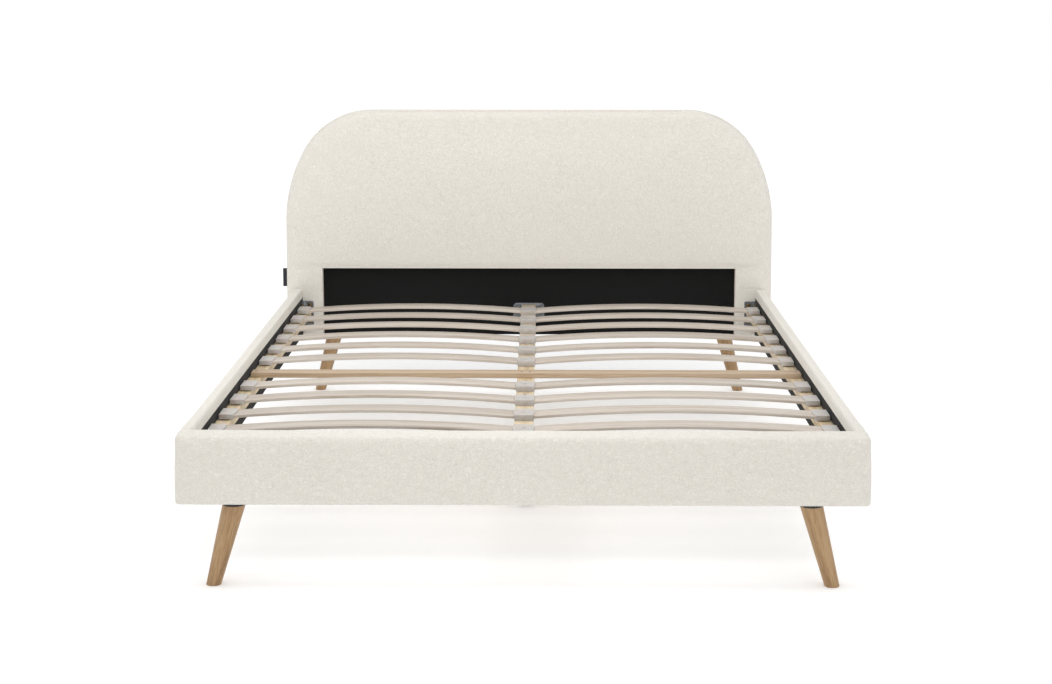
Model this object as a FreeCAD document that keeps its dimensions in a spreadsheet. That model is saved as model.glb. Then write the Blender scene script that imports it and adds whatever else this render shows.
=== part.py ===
"""Upholstered headboard bed for a 1600 x 2000 mm mattress, as separate pieces.

The origin is on the floor under the middle of the bed. +X is the right-hand side seen from the foot,
+Y points to the headboard and +Z is up. All sizes are in millimetres.
"""
import FreeCAD, Part
import math
import os
import Sketcher

Vector = FreeCAD.Vector
X_AXIS = Vector(1, 0, 0)
Y_AXIS = Vector(0, 1, 0)
Z_AXIS = Vector(0, 0, 1)

doc = FreeCAD.newDocument("headboard_bed")
sizes = doc.addObject("Spreadsheet::Sheet", "sizes")

DRIVING_SIZES = (
    # overall
    ("inner_width", 1600, "clear width between the side rails, for the mattress"),
    ("inner_length", 2000, "clear length from foot rail to headboard face"),
    ("rail_clearance", 206, "floor to the underside of the rails"),
    ("rail_height", 172, "height of the padded rails"),
    # fabric, lining and foam
    ("cover", 2.5, "thickness of the bouclé cover"),
    ("lining", 1.5, "thickness of the black lining"),
    ("hem_height", 34, "cover turned over the rail and down its inner face"),
    ("top_foam", 7.5, "foam over the top edge of the rail boards"),
    # side rails
    ("side_board", 18, "thickness of a side rail board"),
    ("side_foam", 10, "foam on the outside of a side rail"),
    # foot rail
    ("foot_board", 42, "thickness of the foot rail board"),
    ("foot_foam", 20, "foam on the front of the foot rail"),
    ("rail_round", 12, "outer rounding of the padded rails"),
    # headboard
    ("headboard_overhang", 27, "headboard past the outside of each side rail"),
    ("headboard_top", 1004, "floor to the top of the headboard"),
    ("headboard_thickness", 90, "front to back of the headboard"),
    ("headboard_foam", 25, "foam on the front of the headboard"),
    ("headboard_board", 6, "thickness of the board under the foam"),
    ("headboard_round", 24, "rounding of the headboard's front edge"),
    ("corner_height", 395, "height of the rounded top corners"),
    ("corner_side_radius", 520, "lower, flatter arc of a top corner"),
    ("corner_top_radius", 270, "upper, tighter arc of a top corner"),
    ("panel_margin", 71.5, "side rail to the black area behind the mattress"),
    ("panel_top", 447, "floor to the top of the black area"),
    ("back_hem", 40, "cover turned onto the back of the headboard"),
    ("back_round", 2, "rounding of the headboard's back edge"),
    ("post_width", 90, "timber at each side of the headboard frame"),
    ("stile_width", 60, "upright in the middle of the headboard frame"),
    ("bottom_rail_height", 110, "lowest timber of the headboard frame"),
    ("middle_rail_low", 400, "underside of the headboard frame's middle timber"),
    ("middle_rail_height", 80, "height of the headboard frame's middle timber"),
    ("upper_post_width", 206.5, "timber at each side of the openings above the middle timber"),
    ("upper_window_top", 880, "floor to the top of those openings"),
    ("label_height", 65, "blank side label"),
    ("label_reach", 14, "how far the label stands out"),
    ("label_thickness", 1.2, "folded label"),
    ("label_low", 378, "floor to the label"),
    ("label_set_back", 30, "label behind the headboard face"),
    # slat supports
    ("support_drop", 64, "rail top down to the top of the ledges and the beam"),
    ("ledge_width", 35, "side ledge, across"),
    ("ledge_height", 27, "side ledge, up"),
    ("ledge_end_gap", 45, "ledge end to the headboard or the foot rail"),
    ("timber_easing", 2, "rounded inner edges of the ledges"),
    ("beam_width", 50, "centre beam, across"),
    ("beam_height", 40, "centre beam, up"),
    ("hanger_plate", 2, "sheet of the beam hangers"),
    ("hanger_half_width", 55, "half width of a hanger's back plate"),
    ("hanger_rise", 6, "hanger plate above the beam"),
    ("hanger_chamfer", 8, "cut corners of the hanger plate"),
    ("hanger_reach", 40, "how far a hanger holds the beam"),
    ("hanger_screw_rise", 24, "distance between the two screws of a hanger wing"),
    ("beam_gap", 0.3, "play of the beam in its hangers"),
    # slats
    ("row_first", 143.4, "headboard face to the middle of the first row"),
    ("row_last", 202.6, "foot rail to the middle of the last row"),
    ("slat_width", 63, "sprung slat, front to back"),
    ("slat_thickness", 8, "sprung slat"),
    ("slat_rise", 15, "camber of a sprung slat"),
    ("crossbar_width", 50, "flat crossbar, front to back"),
    ("crossbar_thickness", 14, "flat crossbar"),
    ("crossbar_end_gap", 6, "crossbar end to the side rail"),
    # slat holders
    ("holder_wall", 2.5, "plastic wall of the slat holders"),
    ("holder_gap", 0.3, "play of a slat in its holder"),
    ("holder_foot", 3, "holder above its support"),
    ("cap_depth", 38, "length of an end cap"),
    ("cap_end_gap", 5, "end cap to the side rail"),
    ("clip_half_length", 24.5, "half length of a centre clip at its front and back"),
    ("clip_web", 3, "half thickness of a centre clip's middle wall"),
    ("lip_point", 4, "how far the lip is pointed"),
    ("holder_easing", 1, "rounded top edge of the slat holders"),
    ("clip_rib", 3, "rib on the front of a centre clip, across"),
    ("peg_radius", 3.5, "peg under a slat holder"),
    ("peg_depth", 14, "peg inside its support"),
    ("peg_gap", 0.2, "play of a peg"),
    # legs
    ("leg_top_radius", 27.5, "corner leg at its top"),
    ("leg_foot_radius", 17.7, "corner leg at the floor"),
    ("leg_foot_round", 1.5, "rounding of a leg's foot"),
    ("leg_tilt", 15, "outward lean of the corner legs, in degrees"),
    ("leg_foot_inset", 84, "outside of the side rail to the foot of a leg"),
    ("front_leg_set_back", 36, "front face to the axis of a front leg"),
    ("rear_leg_set_back", 47, "headboard face to the axis of a rear leg"),
    ("plate_radius", 30, "leg mounting plate"),
    ("plate_thickness", 5, "leg mounting plate"),
    ("plate_screw_reach", 20, "plate centre to its screws"),
    ("leg_bolt_in_leg", 40, "hanger bolt below the plate"),
    ("leg_bolt_in_rail", 28, "hanger bolt above the plate"),
    # centre legs
    ("centre_leg_head", 715, "headboard face to the rear centre leg"),
    ("centre_leg_pitch", 665, "rear centre leg to front centre leg"),
    ("centre_leg_radius", 20, "centre leg"),
    ("foot_pad_radius", 20, "pad of the screw foot"),
    ("foot_pad_height", 12, "pad of the screw foot"),
    ("foot_travel", 28, "how far a screw foot winds down to the floor"),
    ("stud_radius", 4.7, "threaded stud of the screw foot"),
    ("stud_length", 45, "threaded stud of the screw foot"),
    ("stud_gap", 0.3, "running play of the stud and of the pad"),
    # corner brackets and fasteners
    ("bracket_wing", 38, "wing of a corner bracket"),
    ("bracket_sheet", 2.5, "sheet of a corner bracket"),
    ("bracket_height", 88, "height of a corner bracket"),
    ("bracket_low", 243, "floor to the lower edge of a corner bracket"),
    ("bracket_round", 5, "rounded corners of a bracket's wings"),
    ("bracket_hole_inset", 24, "rail face to the bolts"),
    ("bracket_hole_rise", 58, "distance between the two bolts of a wing"),
    ("bolt_radius", 4, "M8 bolt"),
    ("bolt_head_radius", 7, "button head"),
    ("bolt_head_height", 4.4, "button head"),
    ("rail_bolt_length", 20, "bolt into a rail"),
    ("headboard_bolt_length", 60, "bolt into the headboard or through the beam"),
    ("screw_radius", 2, "wood screw"),
    ("screw_head_radius", 4, "wood screw's countersunk head"),
    ("screw_head_height", 2.6, "wood screw's countersunk head"),
    ("screw_length", 40, "wood screw"),
    ("screw_point", 5, "wood screw's point"),
    ("ledge_screw_depth", 8, "counterbore of the ledge screws"),
    ("fixing_gap", 0.3, "play of screws and bolts in their holes"),
)
for row, (alias, value, meaning) in enumerate(DRIVING_SIZES, start=1):
    sizes.set(f"A{row}", meaning)
    sizes.set(f"B{row}", str(value))
    sizes.setAlias(f"B{row}", alias)
doc.recompute()


# Derived places, as expressions over the sheet. Every piece is bound to these.

INNER_X = "(sizes.inner_width / 2)"
SIDE_THICKNESS = "(sizes.lining + sizes.side_board + sizes.side_foam + sizes.cover)"
OUTER_X = f"({INNER_X} + {SIDE_THICKNESS})"
FOOT_THICKNESS = "(sizes.lining + sizes.foot_board + sizes.foot_foam + sizes.cover)"
FRONT_Y = f"(-({FOOT_THICKNESS} + sizes.inner_length + sizes.headboard_thickness) / 2)"
FOOT_Y = f"({FRONT_Y} + {FOOT_THICKNESS})"
HEAD_Y = f"({FOOT_Y} + sizes.inner_length)"
BACK_Y = f"({HEAD_Y} + sizes.headboard_thickness)"
LOW_Z = "sizes.rail_clearance"
TOP_Z = "(sizes.rail_clearance + sizes.rail_height)"
HEM_Z = f"({TOP_Z} - sizes.hem_height)"
BOARD_LOW_Z = f"({LOW_Z} + sizes.cover)"
BOARD_TOP_Z = f"({TOP_Z} - sizes.cover - sizes.top_foam)"
SUPPORT_Z = f"({TOP_Z} - sizes.support_drop)"
BEAM_LOW_Z = f"({SUPPORT_Z} - sizes.beam_height)"
HEADBOARD_X = f"({OUTER_X} + sizes.headboard_overhang)"
PANEL_X = f"({INNER_X} - sizes.panel_margin)"
# the rounding stays within the foam that carries it
HEADBOARD_FOAM_ROUND = "min(sizes.headboard_round - sizes.cover; sizes.headboard_foam - 2)"
FOAM_BACK_Y = f"({HEAD_Y} + sizes.cover + sizes.headboard_foam)"
FRAME_FRONT_Y = f"({FOAM_BACK_Y} + sizes.headboard_board)"
FRAME_BACK_Y = f"({BACK_Y} - sizes.cover - sizes.lining)"
HOLDER_BOTTOM_Z = f"({SUPPORT_Z} + sizes.holder_foot)"
SLAT_Z = f"({HOLDER_BOTTOM_Z} + sizes.holder_wall + sizes.holder_gap)"
HOLDER_TOP_Z = f"({SLAT_Z} + sizes.slat_thickness + sizes.holder_gap + sizes.holder_wall)"
HOLDER_HALF_Y = "(sizes.slat_width / 2 + sizes.holder_gap + sizes.holder_wall)"
CAP_OUTER_X = f"({INNER_X} - sizes.cap_end_gap)"
CAP_INNER_X = f"({CAP_OUTER_X} - sizes.cap_depth)"
SLAT_INNER_X = "(sizes.clip_web + sizes.holder_gap)"
SLAT_OUTER_X = f"({CAP_OUTER_X} - sizes.holder_wall - sizes.holder_gap)"
LEG_TOP_Z = f"({LOW_Z} - sizes.plate_thickness)"
LEG_FOOT_X = f"({OUTER_X} - sizes.leg_foot_inset)"
LEG_TOP_X = f"({LEG_FOOT_X} - {LOW_Z} * tan(sizes.leg_tilt * 1 deg))"
FRONT_LEG_Y = f"({FRONT_Y} + sizes.front_leg_set_back)"
REAR_LEG_Y = f"({HEAD_Y} + sizes.rear_leg_set_back)"
CENTRE_LEG_LOW_Z = "(sizes.foot_travel + sizes.foot_pad_height + sizes.stud_gap)"

ROW_COUNT = 11
CROSSBAR_ROW = 6
SLAT_ROWS = tuple(index for index in range(ROW_COUNT) if index != CROSSBAR_ROW)
ROW_PITCH = f"((sizes.inner_length - sizes.row_first - sizes.row_last) / {ROW_COUNT - 1})"
LEDGE_SCREW_ROWS = (0.5, 2.5, 4.5, 7.5, 9.5)


def number(expression):
    """The value of an expression over the sheet."""
    return float(sizes.evalExpression(str(expression)))


def row_y(index):
    """The middle of a slat row, counted from the headboard."""
    return f"({HEAD_Y} - sizes.row_first - {index} * {ROW_PITCH})"


def place(part, x, y, z):
    """Bind where a part stands."""
    for axis, expression in (("x", x), ("y", y), ("z", z)):
        part.setExpression(f"Placement.Base.{axis}", str(expression))


def block(label, x, y, z):
    """A box between bound limits, each given as (low, high)."""
    part = doc.addObject("Part::Box", label)
    for size, (low, high) in (("Length", x), ("Width", y), ("Height", z)):
        part.setExpression(size, f"({high}) - ({low})")
    place(part, x[0], y[0], z[0])
    return part


def cylinder(label, radius, height, x, y, z):
    """An upright cylinder that starts at a bound point."""
    part = doc.addObject("Part::Cylinder", label)
    part.setExpression("Radius", str(radius))
    part.setExpression("Height", str(height))
    place(part, x, y, z)
    return part


def cut(label, base, *tools):
    """The base without the tools, taken off one after the other."""
    for index, tool in enumerate(tools, start=1):
        last = index == len(tools)
        part = doc.addObject("Part::Cut", label if last else f"{label}_cut_{index}")
        part.Base = base
        part.Tool = tool
        base = part
    return base


def fuse(label, base, *tools):
    """The base with the tools, joined one after the other."""
    for index, tool in enumerate(tools, start=1):
        last = index == len(tools)
        part = doc.addObject("Part::Fuse", label if last else f"{label}_joined_{index}")
        part.Base = base
        part.Tool = tool
        base = part
    return base


def common(label, base, tool):
    """What the two share."""
    part = doc.addObject("Part::Common", label)
    part.Base = base
    part.Tool = tool
    return part


def mirrored(label, source):
    """The left-hand twin of a right-hand piece."""
    part = doc.addObject("Part::Mirroring", label)
    part.Source = source
    part.Normal = X_AXIS
    return part


def rounded(label, base, *choices):
    """A part with edges rounded. A choice is (radius, test), and a test takes an edge's middle and its
    direction."""
    doc.recompute()
    edges = []
    for index, edge in enumerate(base.Shape.Edges, start=1):
        middle = edge.valueAt((edge.FirstParameter + edge.LastParameter) / 2)
        direction = edge.tangentAt((edge.FirstParameter + edge.LastParameter) / 2)
        for radius, test in choices:
            if test(middle, direction):
                edges.append((index, number(radius), number(radius)))
                break
    part = doc.addObject("Part::Fillet", label)
    part.Base = base
    part.Edges = edges
    return part


def at(value, limit):
    """Whether a coordinate lies on a bound limit."""
    return abs(value - number(limit)) < 0.01


def origin_plane(body, role):
    """One of a body's own origin planes."""
    return next(plane for plane in body.Origin.OriginFeatures if plane.Role == role)


def outline(body, name, role, corners, arcs=None):
    """A closed sketch through bound corners. arcs gives the bound radius of each side that is an arc,
    with the sign of its bulge: positive to the right of the way from corner to corner."""
    arcs = arcs or {}
    sketch = body.newObject("Sketcher::SketchObject", name)
    sketch.AttachmentSupport = (origin_plane(body, role), [""])
    sketch.MapMode = "FlatFace"
    points = [Vector(number(x), number(y), 0) for x, y in corners]
    count = len(points)
    for side in range(count):
        start = points[side]
        end = points[(side + 1) % count]
        if side in arcs:
            sketch.addGeometry(arc_between(start, end, *arcs[side]), False)
        else:
            sketch.addGeometry(Part.LineSegment(start, end), False)

    def vertex(side, point):
        nearer_start = (sketch.getPoint(side, 1) - point).Length
        nearer_end = (sketch.getPoint(side, 2) - point).Length
        return 1 if nearer_start <= nearer_end else 2

    for side in range(count):
        point = points[(side + 1) % count]
        following = (side + 1) % count
        joint = (side, vertex(side, point), following, vertex(following, point))
        sketch.addConstraint(Sketcher.Constraint("Coincident", *joint))
    for side, (x, y) in enumerate(corners):
        corner = (side, vertex(side, points[side]))
        for kind, expression, value in (("DistanceX", x, points[side].x), ("DistanceY", y, points[side].y)):
            index = sketch.addConstraint(Sketcher.Constraint(kind, -1, 1, *corner, value))
            sketch.setExpression(f"Constraints[{index}]", str(expression))
    for side, (radius, _) in arcs.items():
        index = sketch.addConstraint(Sketcher.Constraint("Radius", side, number(radius)))
        sketch.setExpression(f"Constraints[{index}]", str(radius))
    return sketch


def arc_between(start, end, radius, bulge):
    """An arc of a bound radius from start to end, bulging right (1) or left (-1) of the way."""
    radius = number(radius)
    chord = end - start
    half = chord.Length / 2
    sideways = Vector(chord.y, -chord.x, 0).normalize() * bulge
    rise = radius - math.sqrt(radius * radius - half * half)
    return Part.Arc(start, (start + end) / 2 + sideways * rise, end)


def pad(body, sketch, length):
    """A sketch made solid, the same distance to each side of its plane."""
    feature = body.newObject("PartDesign::Pad", f"{body.Name}_pad")
    feature.Profile = sketch
    feature.setExpression("Length", str(length))
    feature.Midplane = True
    body.Tip = feature
    return feature


def turned(label, corners):
    """A round piece: a bound outline in the XZ plane turned about Z."""
    body = doc.addObject("PartDesign::Body", label)
    sketch = outline(body, f"{label}_section", "XZ_Plane", corners)
    feature = body.newObject("PartDesign::Revolution", f"{label}_turning")
    feature.Profile = sketch
    feature.ReferenceAxis = (sketch, ["V_Axis"])
    feature.Angle = 360
    body.Tip = feature
    return body


def group(label, shapes):
    """Identical separate pieces in one node."""
    part = doc.addObject("Part::Feature", label)
    part.Shape = Part.makeCompound(shapes)
    return part


def pointing(direction):
    """The turn that takes +Z to a direction."""
    return FreeCAD.Rotation(Z_AXIS, direction)


def copies(master, places):
    """Copies of a master piece, each at (point, direction of its +Z)."""
    doc.recompute()
    shapes = []
    for point, direction in places:
        shape = master.Shape.copy()
        shape.Placement = FreeCAD.Placement(point, pointing(direction))
        shapes.append(shape)
    return shapes


def holes(label, radius, places, length, lead=0):
    """Round cutters for fasteners at (point, direction). lead is how far they start outside the point."""
    shapes = []
    for point, direction in places:
        start = point + direction * lead
        shapes.append(Part.makeCylinder(number(radius), number(length) + lead, start, -direction))
    part = doc.addObject("Part::Feature", label)
    part.Shape = Part.makeCompound(shapes)
    return part


def countersinks(label, places):
    """Conical cutters for the heads of wood screws."""
    shapes = []
    for point, direction in places:
        outer = number("sizes.screw_head_radius + sizes.fixing_gap")
        inner = number("sizes.screw_radius + sizes.fixing_gap")
        shapes.append(Part.makeCone(outer, inner, number("sizes.screw_head_height"), point, -direction))
    return group(label, shapes)


# Where the fasteners sit. Each place is the point under the head and the way the head faces.

def ledge_screw_places():
    """Screws through the right ledge into its rail board, midway between rows of slats."""
    face_x = number(f"{INNER_X} - sizes.ledge_width + sizes.ledge_screw_depth")
    middle_z = number(f"{SUPPORT_Z} - sizes.ledge_height / 2")
    return [(Vector(face_x, number(row_y(row)), middle_z), -X_AXIS) for row in LEDGE_SCREW_ROWS]


def hanger_screw_places(face_y, direction):
    """Two screws in each wing of a beam hanger."""
    wing_x = number("(sizes.beam_width / 2 + sizes.hanger_plate + sizes.hanger_half_width) / 2")
    middle_z = number(f"{SUPPORT_Z} - sizes.beam_height / 2")
    half_rise = number("sizes.hanger_screw_rise / 2")
    places = []
    for x in (-wing_x, wing_x):
        for z in (middle_z - half_rise, middle_z + half_rise):
            places.append((Vector(x, number(face_y), z), direction))
    return places


def crossbar_screw_places():
    """One screw into each ledge and two into the beam."""
    top = number(f"{SUPPORT_Z} + sizes.crossbar_thickness")
    y = number(row_y(CROSSBAR_ROW))
    ledge_x = number(f"{INNER_X} - sizes.ledge_width / 2")
    beam_x = number("sizes.beam_width / 4")
    return [(Vector(x, y, top), Z_AXIS) for x in (-ledge_x, -beam_x, beam_x, ledge_x)]


def plate_screw_places(leg_y):
    """Two screws up through each leg plate."""
    reach = number("sizes.plate_screw_reach")
    middle_x = number(LEG_TOP_X)
    z = number(LEG_TOP_Z)
    places = []
    for side in (-1, 1):
        for offset in (-reach, reach):
            places.append((Vector(side * (middle_x + offset), number(leg_y), z), -Z_AXIS))
    return places


def bracket_heights():
    """The two bolt heights of a corner bracket."""
    middle = number("sizes.bracket_low + sizes.bracket_height / 2")
    half = number("sizes.bracket_hole_rise / 2")
    return (middle - half, middle + half)


def side_bolt_places():
    """Bolts from the right-hand brackets into the right side board."""
    face_x = number(f"{INNER_X} - sizes.bracket_sheet")
    inset = number("sizes.bracket_hole_inset")
    places = []
    for y in (number(HEAD_Y) - inset, number(FOOT_Y) + inset):
        places += [(Vector(face_x, y, z), -X_AXIS) for z in bracket_heights()]
    return places


def end_bolt_places(face_y, direction):
    """Bolts from the brackets into the headboard or the foot rail."""
    inset_x = number(f"{INNER_X} - sizes.bracket_hole_inset")
    places = []
    for x in (-inset_x, inset_x):
        places += [(Vector(x, number(face_y), z), direction) for z in bracket_heights()]
    return places


def centre_leg_places():
    """Bolts down through the beam into the centre legs, rear one first."""
    rear = number(f"{HEAD_Y} - sizes.centre_leg_head")
    front = rear - number("sizes.centre_leg_pitch")
    top = number(SUPPORT_Z)
    return [(Vector(0, y, top), Z_AXIS) for y in (rear, front)]


def across(places):
    """The same places on the left-hand side."""
    return [(Vector(-p.x, p.y, p.z), Vector(-d.x, d.y, d.z)) for p, d in places]


SCREW_HOLE = "sizes.screw_radius + sizes.fixing_gap"
BOLT_HOLE = "sizes.bolt_radius + sizes.fixing_gap"
LEDGE_SCREWS = ledge_screw_places()
HEAD_HANGER_Y = f"({FOAM_BACK_Y} - sizes.lining - sizes.hanger_plate)"
FOOT_HANGER_Y = f"({FOOT_Y} + sizes.hanger_plate)"
HEAD_HANGER_SCREWS = hanger_screw_places(HEAD_HANGER_Y, -Y_AXIS)
FOOT_HANGER_SCREWS = hanger_screw_places(FOOT_HANGER_Y, Y_AXIS)
CROSSBAR_SCREWS = crossbar_screw_places()
FRONT_PLATE_SCREWS = plate_screw_places(FRONT_LEG_Y)
REAR_PLATE_SCREWS = plate_screw_places(REAR_LEG_Y)
SIDE_BOLTS = side_bolt_places()
HEAD_BOLTS = end_bolt_places(f"{HEAD_Y} - sizes.bracket_sheet", -Y_AXIS)
FOOT_BOLTS = end_bolt_places(f"{FOOT_Y} + sizes.bracket_sheet", Y_AXIS)
CENTRE_BOLTS = centre_leg_places()

LEDGE_SCREW_HOLES = holes("ledge_screw_holes", SCREW_HOLE, LEDGE_SCREWS, "sizes.screw_length + 1", 1)
SIDE_BOLT_HOLES = holes("side_bolt_holes", BOLT_HOLE, SIDE_BOLTS, "sizes.rail_bolt_length + 1", 1)
FOOT_BOLT_HOLES = holes("foot_bolt_holes", BOLT_HOLE, FOOT_BOLTS, "sizes.rail_bolt_length + 1", 1)
HEAD_BOLT_HOLES = holes("head_bolt_holes", BOLT_HOLE, HEAD_BOLTS, "sizes.headboard_bolt_length + 1", 1)
FOOT_HANGER_HOLES = holes(
    "foot_hanger_holes", SCREW_HOLE, FOOT_HANGER_SCREWS, "sizes.screw_length + 1", 1
)
HEAD_HANGER_HOLES = holes(
    "head_hanger_holes", SCREW_HOLE, HEAD_HANGER_SCREWS, "sizes.screw_length + 1", 1
)
FRONT_PLATE_HOLES = holes(
    "front_plate_holes", SCREW_HOLE, FRONT_PLATE_SCREWS, "sizes.screw_length + 1", 1
)
REAR_PLATE_HOLES = holes(
    "rear_plate_holes", SCREW_HOLE, REAR_PLATE_SCREWS, "sizes.screw_length + 1", 1
)
CROSSBAR_HOLES = holes("crossbar_holes", SCREW_HOLE, CROSSBAR_SCREWS, "sizes.screw_length + 1", 1)
HEAD_HANGER_SINKS = countersinks("head_hanger_sinks", HEAD_HANGER_SCREWS)
FOOT_HANGER_SINKS = countersinks("foot_hanger_sinks", FOOT_HANGER_SCREWS)
CENTRE_BOLT_HOLES = holes(
    "centre_bolt_holes", BOLT_HOLE, CENTRE_BOLTS, "sizes.headboard_bolt_length + 1", 1
)


# Legs, their plates and the tilted bolts that hold them

def tilted(part, leg_y, below):
    """Stand a part on a right-hand leg's axis, a bound distance below the underside of the rail."""
    part.Placement = FreeCAD.Placement(Vector(), FreeCAD.Rotation(Y_AXIS, -number("sizes.leg_tilt")))
    part.setExpression("Placement.Rotation.Angle", "-sizes.leg_tilt")
    lean = "sizes.leg_tilt * 1 deg"
    place(
        part,
        f"{LEG_TOP_X} + ({below}) * sin({lean})",
        leg_y,
        f"{LOW_Z} - ({below}) * cos({lean})",
    )
    return part


LEG_AXIS_LENGTH = f"({LOW_Z} / cos(sizes.leg_tilt * 1 deg))"
LEG_OVERRUN = "12"
LEG_TAPER = f"((sizes.leg_top_radius - sizes.leg_foot_radius) / {LEG_AXIS_LENGTH})"


def leg_bolt(label, leg_y, radius, grow=0):
    """A bolt on the leg's axis, from inside the leg to inside the rail."""
    part = doc.addObject("Part::Cylinder", label)
    part.setExpression("Radius", radius)
    part.setExpression("Height", f"sizes.leg_bolt_in_leg + sizes.leg_bolt_in_rail + 2 * {grow}")
    return tilted(part, leg_y, f"sizes.leg_bolt_in_leg + {grow}")


def leg(label, leg_y):
    """A turned, tapered leg on the right-hand side, cut level at the floor and under its plate."""
    cone = doc.addObject("Part::Cone", f"{label}_cone")
    cone.setExpression("Radius1", f"sizes.leg_foot_radius - {LEG_TAPER} * {LEG_OVERRUN}")
    cone.setExpression("Radius2", f"sizes.leg_top_radius + {LEG_TAPER} * {LEG_OVERRUN}")
    cone.setExpression("Height", f"{LEG_AXIS_LENGTH} + 2 * {LEG_OVERRUN}")
    tilted(cone, leg_y, f"{LEG_AXIS_LENGTH} + {LEG_OVERRUN}")
    span = "2 * sizes.leg_top_radius"
    slab = block(
        f"{label}_slab",
        (f"{LEG_TOP_X} - {span}", f"{LEG_FOOT_X} + {span}"),
        (f"{leg_y} - {span}", f"{leg_y} + {span}"),
        ("0", LEG_TOP_Z),
    )
    level = common(f"{label}_level", cone, slab)
    bored = cut(f"{label}_bored", level, leg_bolt(f"{label}_bore", leg_y, BOLT_HOLE, 1))
    return rounded(label, bored, ("sizes.leg_foot_round", lambda m, d: at(m.z, "0")))


def leg_plate(label, leg_y, screw_holes, screw_places):
    """A round plate under the rail, with countersunk screws and the leg's bolt through it."""
    disc = cylinder(
        f"{label}_disc", "sizes.plate_radius", "sizes.plate_thickness", LEG_TOP_X, leg_y, LEG_TOP_Z
    )
    return cut(
        label, disc, leg_bolt(f"{label}_bore", leg_y, BOLT_HOLE, 1), screw_holes,
        countersinks(f"{label}_sinks", screw_places),
    )


front_right_leg = leg("front_right_leg", FRONT_LEG_Y)
rear_right_leg = leg("rear_right_leg", REAR_LEG_Y)
front_left_leg = mirrored("front_left_leg", front_right_leg)
rear_left_leg = mirrored("rear_left_leg", rear_right_leg)
front_plate = leg_plate("front_plate", FRONT_LEG_Y, FRONT_PLATE_HOLES, FRONT_PLATE_SCREWS)
rear_plate = leg_plate("rear_plate", REAR_LEG_Y, REAR_PLATE_HOLES, REAR_PLATE_SCREWS)
front_leg_bolt = leg_bolt("front_leg_bolt", FRONT_LEG_Y, "sizes.bolt_radius")
rear_leg_bolt = leg_bolt("rear_leg_bolt", REAR_LEG_Y, "sizes.bolt_radius")
front_leg_hole = leg_bolt("front_leg_hole", FRONT_LEG_Y, BOLT_HOLE, 1)
rear_leg_hole = leg_bolt("rear_leg_hole", REAR_LEG_Y, BOLT_HOLE, 1)
front_leg_holes = (front_leg_hole, mirrored("front_left_leg_hole", front_leg_hole))
rear_leg_holes = (rear_leg_hole, mirrored("rear_left_leg_hole", rear_leg_hole))


def gathered(label, *parts):
    """Several document pieces in one node."""
    part = doc.addObject("Part::Compound", label)
    part.Links = list(parts)
    return part


leg_plates = gathered(
    "leg_plates",
    front_plate,
    mirrored("front_left_plate", front_plate),
    rear_plate,
    mirrored("rear_left_plate", rear_plate),
)
leg_bolts = gathered(
    "leg_bolts",
    front_leg_bolt,
    mirrored("front_left_leg_bolt", front_leg_bolt),
    rear_leg_bolt,
    mirrored("rear_left_leg_bolt", rear_leg_bolt),
)


# Side rails: board, foam, cover, lining and ledge

SIDE_Y = (FOOT_Y, HEAD_Y)
SIDE_CORE_X = (f"{INNER_X} + sizes.lining", f"{OUTER_X} - sizes.cover")
FOAM_ROUND = "sizes.rail_round - sizes.cover"
INNER_ROUND = "sizes.rail_round / 2"
BOTTOM_ROUND = "sizes.rail_round / 2"


def along_y(direction):
    return abs(direction.y) > 0.99


def side_rounding(outer_x, inner_x, top_z, low_z, outer, inner, low):
    """The long edges of a side rail: top outside, top inside and bottom outside."""
    return (
        (outer, lambda m, d: along_y(d) and at(m.x, outer_x) and at(m.z, top_z)),
        (inner, lambda m, d: along_y(d) and at(m.x, inner_x) and at(m.z, top_z)),
        (low, lambda m, d: along_y(d) and at(m.x, outer_x) and at(m.z, low_z)),
    )


def side_rail():
    """The right side rail's four layers."""
    board_block = block(
        "side_board_block",
        (SIDE_CORE_X[0], f"{SIDE_CORE_X[0]} + sizes.side_board"),
        SIDE_Y,
        (BOARD_LOW_Z, BOARD_TOP_Z),
    )
    board = cut("right_rail_board", board_block, SIDE_BOLT_HOLES, LEDGE_SCREW_HOLES)
    core_block = block("side_core_block", SIDE_CORE_X, SIDE_Y, (BOARD_LOW_Z, f"{TOP_Z} - sizes.cover"))
    core = rounded(
        "side_core",
        core_block,
        *side_rounding(
            SIDE_CORE_X[1], SIDE_CORE_X[0], f"{TOP_Z} - sizes.cover", BOARD_LOW_Z,
            FOAM_ROUND, f"{INNER_ROUND} - sizes.lining", f"{BOTTOM_ROUND} - sizes.cover",
        ),
    )
    foam = cut("right_rail_foam", core, board_block)
    outer_block = block("side_outer_block", (INNER_X, OUTER_X), SIDE_Y, (LOW_Z, TOP_Z))
    outer = rounded(
        "side_outer",
        outer_block,
        *side_rounding(OUTER_X, INNER_X, TOP_Z, LOW_Z, "sizes.rail_round", INNER_ROUND, BOTTOM_ROUND),
    )
    window = block(
        "side_window", (f"{INNER_X} - 1", f"{INNER_X} + sizes.lining"), SIDE_Y, (BOARD_LOW_Z, HEM_Z)
    )
    cover = cut("right_rail_cover", outer, core, board_block, window)
    lining_block = block(
        "side_lining_block", (INNER_X, f"{INNER_X} + sizes.lining"), SIDE_Y, (BOARD_LOW_Z, HEM_Z)
    )
    lining = cut("right_rail_lining", lining_block, SIDE_BOLT_HOLES, LEDGE_SCREW_HOLES)
    return board, foam, cover, lining


def peg_holes(label, x, y_places):
    """Holes for the pegs of the slat holders in a support."""
    radius = number("sizes.peg_radius + sizes.peg_gap")
    depth = number("sizes.peg_depth + 1")
    low = number(SUPPORT_Z) - depth
    shapes = [
        Part.makeCylinder(radius, depth + 1, Vector(number(x), number(y), low)) for y in y_places
    ]
    return group(label, shapes)


ROW_PLACES = [row_y(index) for index in SLAT_ROWS]
CAP_PEG_X = f"({CAP_OUTER_X} - sizes.cap_depth / 3)"


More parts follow.
